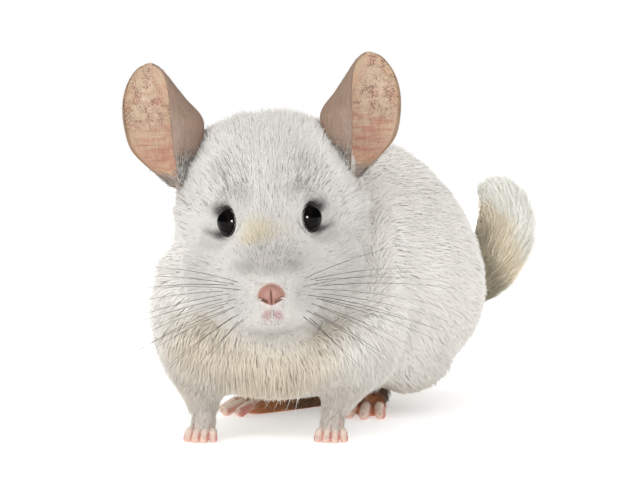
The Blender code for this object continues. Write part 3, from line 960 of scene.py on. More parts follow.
def flow_at(points, tail_share):
    """The lie of the coat: back from the nose over the head, then back and down the body."""
    nose = moved(HEAD_PLACE, [COAT_SPREAD])[0]
    head_flow = unit(points - nose)
    m = in_drawing(points)
    down = 0.35 + 0.5 * smoothstep(70, 20, m[:, 2]) + 0.8 * (1 - smoothstep(0, 40, m[:, 1]))
    body_flow = np.stack([0.004 * m[:, 0], np.ones(len(points)), -down], 1)
    near = foreleg_nearness(points)[:, None]
    body_flow = unit(body_flow) * (1 - near) + np.array([0, -0.1, -1.0]) * near
    share = front_of_neck(points)[:, None]
    flow = head_flow * share + unit(body_flow) * (1 - share)
    if tail_share.any():
        _, axis, _, _ = along_tail(points)
        flow = flow * (1 - tail_share[:, None]) + axis * tail_share[:, None]
    for side in (1, -1):
        height, reach, out = about_eye(points, side)
        near_eye = (1 - smoothstep(0.006, 0.014, reach)) * (height > BEHIND_EYE)
        inward = np.minimum(dot(flow, out), 0)
        flow = flow + out * (0.55 - inward) * near_eye[:, None]
    return unit(flow)


SHORTEST_COAT, LONGEST_COAT = 0.0009, 0.0140


def coat_depth(points, outline_tree, tail):
    """How far the tips may stand over the skin at each root."""
    depth, _ = nearest(outline_tree, points)
    depth = np.clip(0.87 * depth, SHORTEST_COAT, LONGEST_COAT)
    for side in (1, -1):
        height, reach, _ = about_eye(points, side)
        cap = 0.0008 + 0.26 * np.maximum(reach - EYE_RIM_RADIUS, 0)
        depth = np.where(height > BEHIND_EYE, np.minimum(depth, cap), depth)
    from_nose = np.linalg.norm(moved(HEAD_BACK, points) - np.array(NOSE_MIDDLE), axis=1)
    depth = np.minimum(depth, SHORTEST_COAT + 0.20 * np.maximum(from_nose - 0.0060, 0))
    return depth * (1 - 0.20 * tail)


TAIL_DENSITY = 5.0
PER_SQUARE_METRE = 1e6


def coat_density(points):
    """Tufts to a square metre, from tufts to a square millimetre of each region."""
    on_head, face = front_of_neck(points), face_share(points)
    tail = tail_part(points)
    m = in_drawing(points)
    chest = (1 - smoothstep(35, 60, m[:, 1])) * (1 - on_head)
    each = 1.8 + 0.9 * on_head + 3.2 * face + 0.9 * chest + 2.2 * foreleg_nearness(points)
    each = each * (1 - tail) + TAIL_DENSITY * tail
    return each * PER_SQUARE_METRE * 1.0


def messy_share(points):
    """1 in the ruffled cream tuft beside the bridge of the nose, 0 away from it."""
    h = in_head(points)
    away = ((h[:, 0] + 4.5) / 6.0) ** 2 + ((h[:, 2] + 6.5) / 4.5) ** 2
    return np.exp(-(away**2)) * (h[:, 1] < 10)


def coat_roots(skin):
    """Random places for the tufts, off the eyes and the bare nose, with the normals there."""
    roots, normals = sample(skin, coat_density)
    keep = np.ones(len(roots), bool)
    for side in (1, -1):
        height, reach, _ = about_eye(roots, side)
        keep &= ~((reach < EYE_RIM_RADIUS) & (height > BEHIND_EYE))
    h = in_head(roots)
    keep &= ~((nose_pad(h[:, 0], h[:, 2] - NOSE_LIFT) < 0.95) & (h[:, 1] < -30))
    return roots[keep], normals[keep]


# The body's coat in bands from front to back: the name, and where it starts along Y in millimetres.
BANDS = {"chest": -math.inf, "shoulders": 60, "trunk": 100, "rump": 140}


def coat_regions(roots, on_head, face, tail):
    """The name of each root's region."""
    h, m = in_head(roots), in_drawing(roots)
    region = np.full(len(roots), "", "<U12")
    for band, start in BANDS.items():
        region[m[:, 1] > start] = band
    region[on_head > 0.5] = "head"
    region[(face > 0.3) & (h[:, 0] >= 0)] = "left_face"
    region[(face > 0.3) & (h[:, 0] < 0)] = "right_face"
    region[tail > 0.5] = "tail"
    return region


def grow_coat(skin, tips):
    """The coat of head, body and tail, in pieces by region."""
    layout = unwrapped(skin, 5000)
    roots, normals = coat_roots(skin)
    tail = tail_part(roots)
    depth = coat_depth(roots, tree_of(tips), tail)
    flow = flow_at(roots, tail)
    colour = coat_colour(roots, tail)
    dark = grizzle(roots)
    places = map_places(layout, roots)
    on_head, face = front_of_neck(roots), face_share(roots)
    width = 0.36 - 0.06 * on_head - 0.12 * face - 0.14 * foreleg_nearness(roots)
    width = (width * (1 - tail) + 0.26 * tail) * MM * np.clip(depth / 0.003, 0.5, 1.0)
    mess = messy_share(roots)
    depth = depth * (1 + 0.9 * mess)
    region = coat_regions(roots, on_head, face, tail)
    white = coat_material("coat_white", shade=(0.94, 1.05))
    head_look = coat_material("coat_head", shade=(0.94, 1.05), grain=900.0)
    tail_look = coat_material("coat_tail", shade=(0.96, 1.05), grain=500.0)
    groups = [
        ("coat_face_left", region == "left_face", head_look, "face_coat", (34, 13), 0.13),
        ("coat_face_right", region == "right_face", head_look, "face_coat", (34, 13), 0.13),
        ("coat_head_back", region == "head", head_look, "coat", (36, 15), 0.15),
        ("coat_tail", region == "tail", tail_look, "tail_cream", (38, 14), 0.18),
    ]
    across = in_drawing(roots)[:, 0]
    for band in BANDS:
        slot = "chest_coat" if band == "chest" else "coat"
        for side, half in (("left", across >= 0), ("right", across < 0)):
            groups.append((f"coat_{band}_{side}", (region == band) & half, white, slot, (38, 14), 0.17))
    for name, chosen, look, slot, lean, jitter in groups:
        here = tail[chosen]
        parts = tufts(
            roots[chosen], normals[chosen], flow[chosen], depth[chosen], width[chosen], lean,
            jitter + 0.7 * mess[chosen], colour[chosen], places[chosen],
            bend=lambda spots, share=here: flow_at(spots, share), dark=dark[chosen], mess=mess[chosen],
        )
        coat_piece(name, [parts], look)
    return layout


# Eyes, nose and lips

def make_eye(name, side):
    """The eyeball: a bulging dark iris round a pupil, seen through a clear wet surface."""
    shape = bmesh.new()
    bmesh.ops.create_uvsphere(shape, u_segments=64, v_segments=40, radius=EYE_RADIUS)
    ball = from_bmesh(name, shape)
    turn = Vector(eye_axis(side)).to_track_quat("Z", "Y").to_matrix().to_4x4()
    local = points_of(ball)
    height = local[:, 2] / EYE_RADIUS
    reach = np.sqrt(np.maximum(0, 1 - height**2))
    colour = plain((8, 8, 9), len(local))
    ring = smoothstep(0.55, 0.72, reach) * (1 - smoothstep(0.86, 0.97, reach)) * (height > 0)
    colour = blend(colour, (24, 19, 16), 0.7 * ring)
    place_points(ball, moved(Matrix.Translation(eye_centre(side)) @ turn, local))
    ball.data.shade_smooth()
    set_colours(ball, colour)
    n = Nodes(name + "_surface")
    look = n.finish(
        n.attribute("coat"), n.grain(900.0, 3.0), (0.6, 1.3), n.grain(300.0), (0.03, 0.07),
        n.grain(500.0), 0.02, 0.0001, IOR=1.2,
    )
    ball.data.materials.append(look)
    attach(ball, "root")
    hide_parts(name)
    return ball


def lid_shape(side):
    """The rim of the lids round one eye: a soft ring, a little pointed before and behind."""
    centre, axis = eye_centre(side), eye_axis(side)
    up = unit(np.array(HEAD_TURN.to_3x3() @ Vector((0, 0, 1))))
    up = unit(up - (up @ axis) * axis)
    back = np.cross(axis, up) * side
    around, thick = 96, 14
    angle = 2 * math.pi * np.arange(around) / around
    points = []
    for a in angle:
        c, s = math.cos(a), math.sin(a)
        radius = EYE_RIM_RADIUS * (1.0 + 0.035 * abs(c) ** 6)
        out = back * c + up * s
        middle = centre + axis * EYE_RIM_HEIGHT + out * radius
        swell = 0.00050 + 0.00010 * max(0.0, s)
        for b in 2 * math.pi * np.arange(thick) / thick:
            points.append(middle + out * math.cos(b) * swell * 1.3 + axis * math.sin(b) * swell)
    grid = np.arange(around * thick).reshape(around, thick)
    right, over = np.roll(grid, -1, 0), np.roll(grid, -1, 1)
    both = np.roll(right, -1, 1)
    faces = np.stack([grid.ravel(), right.ravel(), both.ravel(), over.ravel()], 1)
    return np.array(points), faces


# How much higher the nose and lips sit than they are drawn here, in millimetres.
NOSE_LIFT = 2.3


def nose_pad(x, z):
    """Less than 1 on the bare pad of the nose: broad below, narrower above. In millimetres."""
    above = np.clip((z + 31.0) / 4.4, 0, 1)
    below = np.clip((-31.0 - z) / 4.0, 0, 1)
    wide = 5.8 * (1 - 0.42 * above**1.4 - 0.58 * below**1.6)
    return ((np.abs(x) / wide) ** 2.4 + (np.abs(z + 30.7) / 4.2) ** 2.6) ** (1 / 2.4)


def nostril_line(x):
    """The height of the slit of the nostrils."""
    return -33.2 + 0.30 * (np.abs(x) - 1.3) - 0.25 * np.cos((np.abs(x) - 1.3) * 1.2)


def nose_surface(x, z, skin_y):
    """How far forward the bare nose and the upper lip lie over the skin, and where they are cleft."""
    across = np.abs(x)
    pad = nose_pad(x, z)
    nose = -39.6 + 2.3 * pad**2.6
    lobe = np.exp(-(((across - 2.7) / 2.3) ** 2) - ((z + 38.6) / 3.0) ** 2)
    philtrum = np.exp(-((x / 0.55) ** 2)) * smoothstep(-34.0, -36.0, z) * smoothstep(-43.0, -41.5, z)
    lip = np.minimum(skin_y, -35.6 + 0.5 * np.maximum(0, -(z + 38)) ** 1.2)
    lip = lip - 0.35 - 0.9 * lobe + 0.55 * philtrum
    surface = np.minimum(nose, lip) - 0.25 * np.exp(-(((nose - lip) / 0.9) ** 2))
    groove = np.exp(-((x / 0.34) ** 2)) * smoothstep(-27.5, -29.5, z) * smoothstep(-35.4, -34.2, z)
    slit = np.exp(-(((z - nostril_line(x)) / (0.40 + 0.07 * across)) ** 2))
    slit *= smoothstep(0.9, 2.0, across) * (1 - smoothstep(4.6, 5.5, across))
    wing = np.exp(-(((z - nostril_line(x) - 1.2) / 0.9) ** 2)) * smoothstep(1.2, 2.6, across) * (pad < 1)
    mouth = np.exp(-(((z + 42.7 - 0.05 * across**1.5) / 0.40) ** 2)) * (1 - smoothstep(4.0, 6.2, across))
    return surface + 0.7 * groove + 1.5 * slit - 0.40 * wing + 0.9 * mouth, slit, groove, mouth


def closed_sheet(rows, columns):
    """Faces of a thin sheet: a grid of points in front, the same behind it, and the wall between."""
    grid = np.arange(rows * columns).reshape(rows, columns)
    corners = grid[:-1, :-1], grid[:-1, 1:], grid[1:, 1:], grid[1:, :-1]
    front = np.stack([corner.ravel() for corner in corners], 1)
    rim = np.concatenate([grid[0], grid[1:, -1], grid[-1, -2::-1], grid[-2:0:-1, 0]])
    onward = np.roll(rim, -1)
    wall = np.stack([onward, rim, rim + grid.size, onward + grid.size], 1)
    return np.concatenate([front, front[:, ::-1] + grid.size, wall])


def make_nose(skin_tree):
    """The bare nose with its slit nostrils, and the split upper lip under it."""
    across, down = 101, 137
    x, z = np.meshgrid(np.linspace(-8.0, 8.0, across), np.linspace(-45.6, -23.8, down))
    ahead = Vector(turned(HEAD_PLACE, [(0, 1, 0)])[0])
    starts = moved(HEAD_PLACE, np.stack([x.ravel(), np.full(x.size, -60.0), z.ravel() + NOSE_LIFT], 1) * MM)
    hits = [skin_tree.ray_cast(Vector(start), ahead)[3] for start in starts]
    skin_y = np.array([-60.0 + (hit if hit is not None else 0.03) / MM for hit in hits]).reshape(x.shape)
    y, slit, groove, mouth = nose_surface(x, z, skin_y)
    narrow = 5.0 + 1.2 * smoothstep(-36.0, -32.0, z)
    border = np.maximum(smoothstep(narrow - 1.2, narrow + 1.2, np.abs(x)), smoothstep(-26.4, -24.6, z))
    border = np.maximum(border, smoothstep(-43.6, -45.0, z))
    y = y + (skin_y + 0.9 - y) * border
    front = np.stack([x.ravel(), y.ravel(), z.ravel() + NOSE_LIFT], 1) * MM
    rear = front.copy()
    rear[:, 1] += 0.003
    points = moved(HEAD_PLACE, np.concatenate([front, rear]))
    made = make_mesh("nose_tip", points, closed_sheet(down, across))
    colour = nose_colour(x, z, slit, groove, mouth)
    set_colours(made, np.concatenate([colour, colour]))
    made.data.materials.append(skin_material("nose_skin", rough=0.55, grain=1600.0, specular=0.35, bump=0.4))
    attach(made, "root")
    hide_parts("nose")
    return made, (x, z, border)


def nose_colour(x, z, slit, groove, mouth):
    """Pale skin round a flushed pad and dusky lips, with painted shade in the clefts."""
    pad = nose_pad(x, z).ravel()
    on_pad = 1 - smoothstep(0.86, 1.04 + 0.22 * smoothstep(-30.0, -27.0, z.ravel()), pad)
    flat_x, flat_z = np.abs(x).ravel(), z.ravel()
    colour = plain((206, 198, 192), x.size)
    round_lip = np.sqrt((flat_x / 4.8) ** 2 + ((flat_z + 39.4) / 3.6) ** 2)
    lips = 1 - smoothstep(0.55, 1.15, round_lip)
    flush = 0.5 * (1 - smoothstep(1.0, 1.5, pad)) * smoothstep(-29.0, -27.0, flat_z)
    colour = blend(colour, (216, 170, 158), flush)
    colour = blend(colour, (164, 124, 124), 0.92 * lips)
    ridges = np.clip(np.cos(flat_x * 5.2), 0, 1) * smoothstep(-38.6, -37.0, flat_z)
    ridges *= (flat_x < 4.0) * (pad > 1)
    colour = blend(colour, (222, 208, 202), 0.6 * ridges)
    colour = blend(colour, (158, 112, 98), on_pad)
    colour = blend(colour, (182, 136, 120), 0.6 * on_pad * np.exp(-((flat_z + 29.0) / 2.0) ** 2))
    # Painted shade in the nostril slits, the groove and the line of the mouth.
    colour = blend(colour, (84, 40, 32), 0.85 * slit.ravel() * on_pad)
    colour = blend(colour, (92, 52, 42), 0.7 * groove.ravel())
    return blend(colour, (122, 84, 82), 0.6 * mouth.ravel())


def lip_tufts(nose, grid, layout):
    """Short white hairs over the upper lip and round the bare nose."""
    x, z, border = grid
    normals, points = normals_of(nose)[: x.size], points_of(nose)[: x.size]
    across, height = x.ravel(), z.ravel()
    around = smoothstep(1.0, 1.25, nose_pad(across, height)) * (border.ravel() < 0.75)
    lips = (np.abs(across) < 4.5) & (height < -35.5)
    chosen = np.where(RANDOM.random(x.size) < around * np.where(lips, 0.07, 0.20))[0]
    roots, h = points[chosen], in_head(points[chosen])
    way = np.stack([h[:, 0] * 0.30, np.full(len(h), 0.2), (h[:, 2] + 31) * 0.5], 1)
    flow = turned(HEAD_TURN, way)
    colour = plain((216, 211, 206), len(roots))
    size = np.full(len(roots), 0.00048)
    width = np.full(len(roots), 0.00009)
    places = map_places(layout, roots)
    return tufts(roots, normals[chosen], flow, size, width, (24, 12), 0.12, colour, places, reach=4.5)


# Ears

def ear_sheet(side, across, rows):
    """The middle surface of an ear: points by row, and how far across and up each is."""
    table = catmull_rom(EAR, rows)
    steps = np.linspace(0, 1, across)
    points = []
    for height, inner, front, outer in table:
        half = (outer - inner) / (1 - math.cos(EAR_BACK_ANGLE))
        middle = inner + half
        first = -math.acos(max(-1.0, min(1.0, (middle - front) / half)))
        angle = first + (EAR_BACK_ANGLE - first) * steps
        x = middle - half * np.cos(angle)
        y = EAR_FOOT_DEPTH + EAR_LEAN * height + EAR_DEPTH_RATIO * half * np.sin(angle)
        top = np.clip((height - 0.0600) / 0.0084, 0, 1) ** 3
        z = height - 0.0009 * top * (2 * steps - 1) ** 2
        points.append(np.stack([side * x + EAR_SHIFT, y, z], 1))
    return np.array(points), steps, (table[:, 0] - table[0, 0]) / (table[-1, 0] - table[0, 0])


def ear_shape(side):
    """One ear as a thin closed sheet with a soft rim, its folds, colours and masks.

    Its places run from 0 to 1: u from the inner edge to the outer one, v from the foot to the tip.
    """
    across, rows = 72, 9
    sheet, u, v = ear_sheet(side, across, rows)
    count = len(v)
    along = np.gradient(sheet, axis=1)
    upward = np.gradient(sheet, axis=0)
    normal = unit(np.cross(along, upward)) * side
    u, v = np.meshgrid(u, v)
    pleats = np.sin(v * 74 + 2.5 * np.sin(u * 9)) * smoothstep(0.42, 0.60, u)
    pleats *= 1 - smoothstep(0.80, 0.92, u)
    pleats *= smoothstep(0.02, 0.12, v) * (1 - smoothstep(0.42, 0.62, v))
    swell = 0.00035 * np.sin(u * 15 + v * 4) * smoothstep(0.1, 0.3, v) * (1 - smoothstep(0.75, 0.95, v))
    sheet = sheet + normal * (swell + 0.00016 * pleats)[:, :, None]
    edge = np.minimum(np.minimum(u * 16, (1 - u) * 20), (1 - v) * 16)
    thick = 0.00032 + 0.00042 * (1 - v) + 0.00030 * np.exp(-(((u - 0.04) / 0.06) ** 2))
    thick = thick * np.sqrt(np.clip(edge, 0.02, 1))
    inner = sheet + normal * thick[:, :, None]
    outer = sheet - normal * thick[:, :, None]
    faces = closed_sheet(count, across)
    if side < 0:
        faces = faces[:, ::-1]
    total = count * across
    points = moved(HEAD_PLACE, np.concatenate([inner.reshape(-1, 3), outer.reshape(-1, 3)]))
    outward = turned(HEAD_TURN, -normal.reshape(-1, 3))
    climb = turned(HEAD_TURN, unit(upward.reshape(-1, 3)))
    u, v = u.ravel(), v.ravel()
    surface = {
        "u": u, "v": v, "inner": points[:total], "outer": points[total:],
        "outward": outward, "climb": climb,
    }
    return points, faces, *ear_looks(side, u, v, pleats.ravel()), surface


def ear_looks(side, u, v, pleats):
    """The colours of both sides of an ear, the masks of its marks, and its places for the streaks."""
    inside = plain((212, 188, 160), len(u))
    inside = blend(inside, (208, 166, 146), 0.7 * (1 - smoothstep(0.15, 0.5, v)))
    inside = blend(inside, (196, 170, 146), 0.4 * smoothstep(0.75, 1.0, v))
    inside = blend(inside, (176, 140, 118), 0.8 * (1 - smoothstep(0.0, 0.28, u)))
    inside = blend(inside, (150, 120, 92), 0.9 * smoothstep(0.96, 0.985, u))
    # Painted shade in the valleys of the folds, tinted red.
    inside = blend(inside, (198, 128, 110), 0.45 * np.clip(-pleats, 0, 1))
    pale_foot = np.exp(-(((u - 0.78) / 0.12) ** 2) - ((v - 0.10) / 0.07) ** 2)
    inside = blend(inside, (236, 208, 168), 0.7 * pale_foot)
    outside = plain((148, 124, 107), len(u))
    flush = 0.6 * (1 - smoothstep(0.30, 0.62, v)) * smoothstep(0.15, 0.35, u)
    outside = blend(outside, (180, 138, 122), flush)
    outside = blend(outside, (150, 126, 110), 0.6 * (1 - smoothstep(0.0, 0.10, u)))
    outside = blend(outside, (140, 118, 98), 0.8 * smoothstep(0.9, 1.0, u))
    freckles = smoothstep(0.40, 0.56, v) * smoothstep(0.52, 0.66, u) * 0.85
    wrinkles = 0.50 * smoothstep(0.42, 0.55, u) * (1 - smoothstep(0.92, 0.98, u))
    wrinkles *= 1 - 0.6 * smoothstep(0.4, 0.7, v)
    flushed = 0.60 * smoothstep(0.40, 0.5, u) * (1 - smoothstep(0.93, 1.0, u))
    masks = np.stack([freckles, wrinkles, flushed], 1)
    masks = np.concatenate([masks, masks * np.array((0.0, 0.35, 0.5))])
    places = np.stack([u, v, np.full(len(u), side * 5.0)], 1)
    return np.concatenate([inside, outside]), masks, np.tile(places, (2, 1))


def ear_map(side, u, v):
    """Places of an ear's hair on the map: the left ear in its first half, the right in the second."""
    half = 0.0 if side > 0 else 0.5
    return np.clip(np.stack([half + 0.01 + 0.48 * u, 0.01 + 0.98 * v], 1), PATCH, 1 - PATCH)


def ear_tufts(side, surface):
    """Fine short hair on the back of an ear, longer and greyer at its foot, and some at the front."""
    u, v = surface["u"], surface["v"]
    foot = 1 - smoothstep(0.16, 0.46, v + 0.25 * np.abs(u - 0.22))
    share = 0.10 + 0.75 * foot
    chosen = np.where((RANDOM.random(len(u)) < share) & (v < 0.93) & (u > 0.02))[0]
    chosen = np.repeat(chosen, 2)
    near = surface["outer"][chosen] + RANDOM.normal(0, 0.00035, (len(chosen), 3))
    normals = surface["outward"][chosen]
    low = foot[chosen]
    outwards = turned(HEAD_TURN, [(side * 1.0, 0.0, 0.0)])[0]
    flow = surface["climb"][chosen] + outwards * 0.35
    colour = plain((170, 150, 134), len(chosen))
    colour = blend(colour, (206, 201, 195), low)
    grey = (RANDOM.random(len(chosen)) < 0.30 * low + 0.15)[:, None]
    colour = np.where(grey, linear((120, 112, 104)), colour)
    size = (0.30 + 0.75 * low) * MM
    width = (0.055 + 0.065 * low) * MM
    places = ear_map(side, u[chosen], v[chosen])
    back = tufts(near, normals, flow, size, width, (20, 8), 0.16, colour, places, reach=5.0)
    chosen = np.where((RANDOM.random(len(u)) < 0.8 * (1 - smoothstep(0.05, 0.15, v))))[0]
    near = surface["inner"][chosen] + RANDOM.normal(0, 0.0004, (len(chosen), 3))
    down = turned(HEAD_TURN, [(side * 0.5, 0.0, -1.0)])[0]
    flow = surface["climb"][chosen] * 0.3 + outwards * 0.5 + down
    colour = plain((178, 160, 146), len(chosen))
    colour = blend(colour, (214, 208, 202), RANDOM.random(len(chosen)))
    places = ear_map(side, u[chosen], v[chosen])
    size, width = np.full(len(chosen), 0.0011), np.full(len(chosen), 0.00015)
    normals = -surface["outward"][chosen]
    front = tufts(near, normals, flow, size, width, (30, 14), 0.25, colour, places, reach=4.0)
    return [back, front]


# Feet

def toe(root, knuckle, tip, thickness):
    root, knuckle, tip = Vector(root), Vector(knuckle), Vector(tip)
    return ((*root, thickness), (*knuckle, thickness * 0.96), (*tip, thickness * 1.02))


def forepaw_runs():
    pad = ((0.0, 0.0010, 0.0110, 0.0040), (0.0, -0.0015, 0.0070, 0.0046), (0.0, -0.0045, 0.0036, 0.0045))
    toes = []
    for spread, reach in ((-1.35, 0.0098), (-0.47, 0.0122), (0.47, 0.0122), (1.35, 0.0098)):
        tip = (spread * 0.0040, -reach, 0.0017)
        toes.append(toe((spread * 0.0024, -0.0040, 0.0042), (spread * 0.0034, -0.0072, 0.0041), tip, 0.0017))
    return pad, toes


def hindfoot_runs():
    sole = ((0.0, 0.0010, 0.0060, 0.0054), (0.0, -0.0180, 0.0044, 0.0054), (0.0, -0.0360, 0.0036, 0.0060))
    toes = []
    for spread, reach in ((-1.2, 0.0490), (0.0, 0.0530), (1.2, 0.0500)):
        tip = (spread * 0.0058, -reach, 0.0024)
        toes.append(toe((spread * 0.0036, -0.0360, 0.0042), (spread * 0.0050, -0.0440, 0.0049), tip, 0.0024))
    return sole, toes


def foot_frame(stance):
    (x, y), heading = stance
    place = Matrix.Translation((x + SHIFT.x, y + SHIFT.y, SHIFT.z))
    return place @ Matrix.Rotation(math.radians(heading), 4, "Z")


def foot_shape(stance, runs):
    """A foot with its toes: points, faces, the points in the foot's frame, and normals."""
    place = foot_frame(stance)
    main_run, toes = runs
    shape = bmesh.new()
    for run in (main_run, *toes):
        add_beads(shape, [(*(place @ Vector(p[:3])), p[3]) for p in run], spacing=0.16)
    foot = remesh(from_bmesh("foot", shape), 0.00040, 2)
    points, normals = points_of(foot), normals_of(foot)
    points[:, 2] = np.maximum(points[:, 2], 0.0)
    faces = np.array(faces_of(foot))
    local = moved(place.inverted(), points)
    bpy.data.objects.remove(foot)
    return points, faces, local, normals


def foot_colour(local, front):
    """Pale toes with reddish painted shade in the clefts between them, and fur colour towards the leg."""
    y, z = local[:, 1], local[:, 2]
    toe_start = -0.0045 if front else -0.038
    colour = plain((232, 200, 184), len(local))
    colour = blend(colour, (242, 224, 208), 0.8 * smoothstep(0.002, 0.005, z))
    gap = 0.0034 if front else 0.0060
    cleft = np.cos(2 * math.pi * (local[:, 0] / gap + (0.5 if front else 0.0)))
    # Painted shade between the toes, darker and redder in the clefts.
    colour = blend(colour, (196, 104, 88), 0.75 * smoothstep(-0.2, -0.95, cleft) * (y < toe_start))
    if not front:
        colour = blend(colour, HINDFOOT_BROWN, 0.85 * smoothstep(-0.046, -0.038, y))
        return colour
    return blend(colour, (206, 190, 174), 0.8 * smoothstep(0.006, 0.010, z))


def foot_tufts(layout, points, place, local, normals, front):
    """Short hair over the wrist and on the toes, and the brown fuzz of a hind foot, darker towards the heel
    with painted shadow.
    """
    y, z = local[:, 1], local[:, 2]
    if front:
        share = 0.55 * smoothstep(0.0032, 0.0050, z) * (y > -0.0085) + 0.07 * (z > 0.0022) * (y <= -0.0085)
    else:
        share = 0.42 * (y > -0.044) * (z > 0.0012) + 0.05 * (y <= -0.044) * (z > 0.0025)
    chosen = np.where(RANDOM.random(len(points)) < share)[0]
    roots, away = points[chosen], normals[chosen]
    y, z = y[chosen], z[chosen]
    flow = turned(place, np.repeat([(0.0, -1.0, -0.8 if front else -0.3)], len(roots), 0))
    if front:
        colour = plain((232, 226, 218), len(roots))
        size = (0.55 + 0.55 * smoothstep(0.004, 0.009, z)) * MM
        dark = 0.10
    else:
        colour = plain(HINDFOOT_BROWN, len(roots))
        # Darker towards the heel: painted shadow of the body, over the hair's own dark grey-brown.
        colour = blend(colour, (112, 86, 62), smoothstep(-0.030, -0.012, y))
        colour = blend(colour, (238, 226, 214), 1 - smoothstep(-0.047, -0.041, y))
        size = (0.45 + 1.1 * smoothstep(-0.046, -0.034, y)) * MM
        dark = 0.12 * (y > -0.04)
    width = np.full(len(roots), 0.00010)
    places = map_places(layout, roots)
    return tufts(roots, away, flow, size, width, (26, 10), 0.22, colour, places, dark=dark, reach=4.5)


def ring(centre, side, over, radius, sides):
    """The points of a round section."""
    angles = [2 * math.pi * k / sides for k in range(sides)]
    return [centre + (side * math.cos(a) + over * math.sin(a)) * radius for a in angles]


def stalk_faces(start, rings, sides):
    """Faces of a closed round stalk whose rings start there, with its root and its tip after them."""
    faces = []
    last = start + (rings - 1) * sides
    root, tip = last + sides, last + sides + 1
    for k in range(sides):
        j = (k + 1) % sides
        for near in range(start, last, sides):
            faces += [(near + k, near + j, near + j + sides), (near + k, near + j + sides, near + k + sides)]
        faces += [(root, start + j, start + k), (tip, last + k, last + j)]
    return faces


# Rings of a claw: the place between its base and its tip, and the share of its full radius.
CLAW_RINGS = ((-0.6, 0.8), (0.0, 1.0), (0.45, 0.72), (0.8, 0.4))
CLAW_SIDES = 8
CLAW_DROOP = np.array((0, 0, 0.0002))


def claw(points, faces, base, tip, radius):
    """A short blunt claw, as a closed cone with a curved point, added to the arrays."""
    axis = unit(tip - base)
    side = unit(np.cross(axis, (0, 0, 1)))
    over = np.cross(side, axis)
    faces += stalk_faces(len(points), len(CLAW_RINGS), CLAW_SIDES)
    for share, size in CLAW_RINGS:
        centre = base + (tip - base) * share - CLAW_DROOP * max(0.0, share)
        points += ring(centre, side, over, radius * size, CLAW_SIDES)
    points += [base + (tip - base) * -0.7, tip - 1.5 * CLAW_DROOP]


def make_claws():
    points, faces = [], []
    for stances, runs, length, radius in (
        (FOREPAWS, forepaw_runs()[1], 0.0016, 0.00062),
        (HINDFEET, hindfoot_runs()[1], 0.0020, 0.00085),
    ):
        for side in (1, -1):
            place = foot_frame(stances[side])
            for run in runs:
                tip, knuckle = Vector(run[-1][:3]), Vector(run[-2][:3])
                ahead = Vector((tip.x - knuckle.x, tip.y - knuckle.y, 0)).normalized()
                base = tip + ahead * run[-1][3] * 0.75 + Vector((0, 0, run[-1][3] * 0.25))
                end = base + ahead * length - Vector((0, 0, length * 0.35))
                claw(points, faces, np.array(place @ base), np.array(place @ end), radius)
    points = np.array(points)
    points[:, 2] = np.maximum(points[:, 2], 0.0)
    made = make_mesh("claws", points, faces)
    made.data.materials.append(claw_material())
    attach(made, "root")


# One skin of everything fleshy

def assemble_skin(skin):
    """Puts ears, feet and lids into the skin, with their colours and materials, and grows their tufts too.
    """
    points = [points_of(skin)]
    faces = [np.array(faces_of(skin))]
    # The skin under the coat is the coat's colour with a little painted shade.
    colours = [coat_colour(points[0], tail_part(points[0])) * 0.97]
    masks = [np.zeros((len(points[0]), 3))]
    sheets = [np.zeros((len(points[0]), 3))]
    looks = [np.zeros(len(faces[0]), int)]
    ear_parts, feet = [], []

    def add(new_points, new_faces, new_colours, look, new_masks=None, new_sheet=None):
        start = sum(len(p) for p in points)
        points.append(new_points)
        faces.append(new_faces + start)
        colours.append(new_colours)
        masks.append(new_masks if new_masks is not None else np.zeros((len(new_points), 3)))
        sheets.append(new_sheet if new_sheet is not None else np.zeros((len(new_points), 3)))
        looks.append(np.full(len(new_faces), look))

    for side in (1, -1):
        ear_points, ear_faces, ear_colours, ear_masks, ear_places, surface = ear_shape(side)
        add(ear_points, ear_faces, ear_colours, 1, ear_masks, ear_places)
        ear_parts += ear_tufts(side, surface)
        for stances, runs, front in ((FOREPAWS, forepaw_runs(), True), (HINDFEET, hindfoot_runs(), False)):
            foot_points, foot_faces, local, normals = foot_shape(stances[side], runs)
            add(foot_points, foot_faces, foot_colour(local, front), 2)
            feet.append((foot_points, foot_faces, foot_frame(stances[side]), local, normals, front))
        lid_points, lid_faces = lid_shape(side)
        add(lid_points, lid_faces, plain((40, 36, 34), len(lid_points)), 2)
    made = make_mesh("skin", np.concatenate(points), np.concatenate(faces))
    set_colours(made, np.concatenate(colours))
    set_colours(made, np.concatenate(masks), "masks")
    layer = made.data.attributes.new("sheet", "FLOAT_VECTOR", "POINT")
    layer.data.foreach_set("vector", np.concatenate(sheets).astype(np.float32).ravel())
    made.data.materials.append(skin_material("skin_under_coat"))
    made.data.materials.append(ear_material())
    made.data.materials.append(skin_material("foot_skin", rough=0.55, grain=1300.0, specular=0.35, bump=0.4))
    made.data.polygons.foreach_set("material_index", np.concatenate(looks).astype(np.int32))
    bpy.data.objects.remove(skin)
    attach(made, "root")
    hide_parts(*FLESH_NODES)
    grow_feet_and_ears(feet, ear_parts)
    return made


def grow_feet_and_ears(feet, ear_parts):
    """The short hair of feet and ears, each over a map of its own skin."""
    counts = np.cumsum([0] + [len(points) for points, *_ in feet])
    all_faces = np.concatenate([foot[1] + start for foot, start in zip(feet, counts)])
    together = make_mesh("feet", np.concatenate([points for points, *_ in feet]), all_faces)
    layout = unwrapped(together, 3000)
    bpy.data.objects.remove(together)
    parts = [foot_tufts(layout, points, *of_foot) for points, _, *of_foot in feet]
    coat_piece("coat_feet", parts, coat_material("coat_foot", shade=(0.9, 1.08), grain=900.0))
    coat_piece("coat_ears", ear_parts, coat_material("coat_ear", shade=(0.85, 1.1), grain=900.0))


# Long hairs

# A way that no hair takes, from which the sides of their sections are worked out.
NEVER_ALONG = (0.13, 0.31, 0.94)


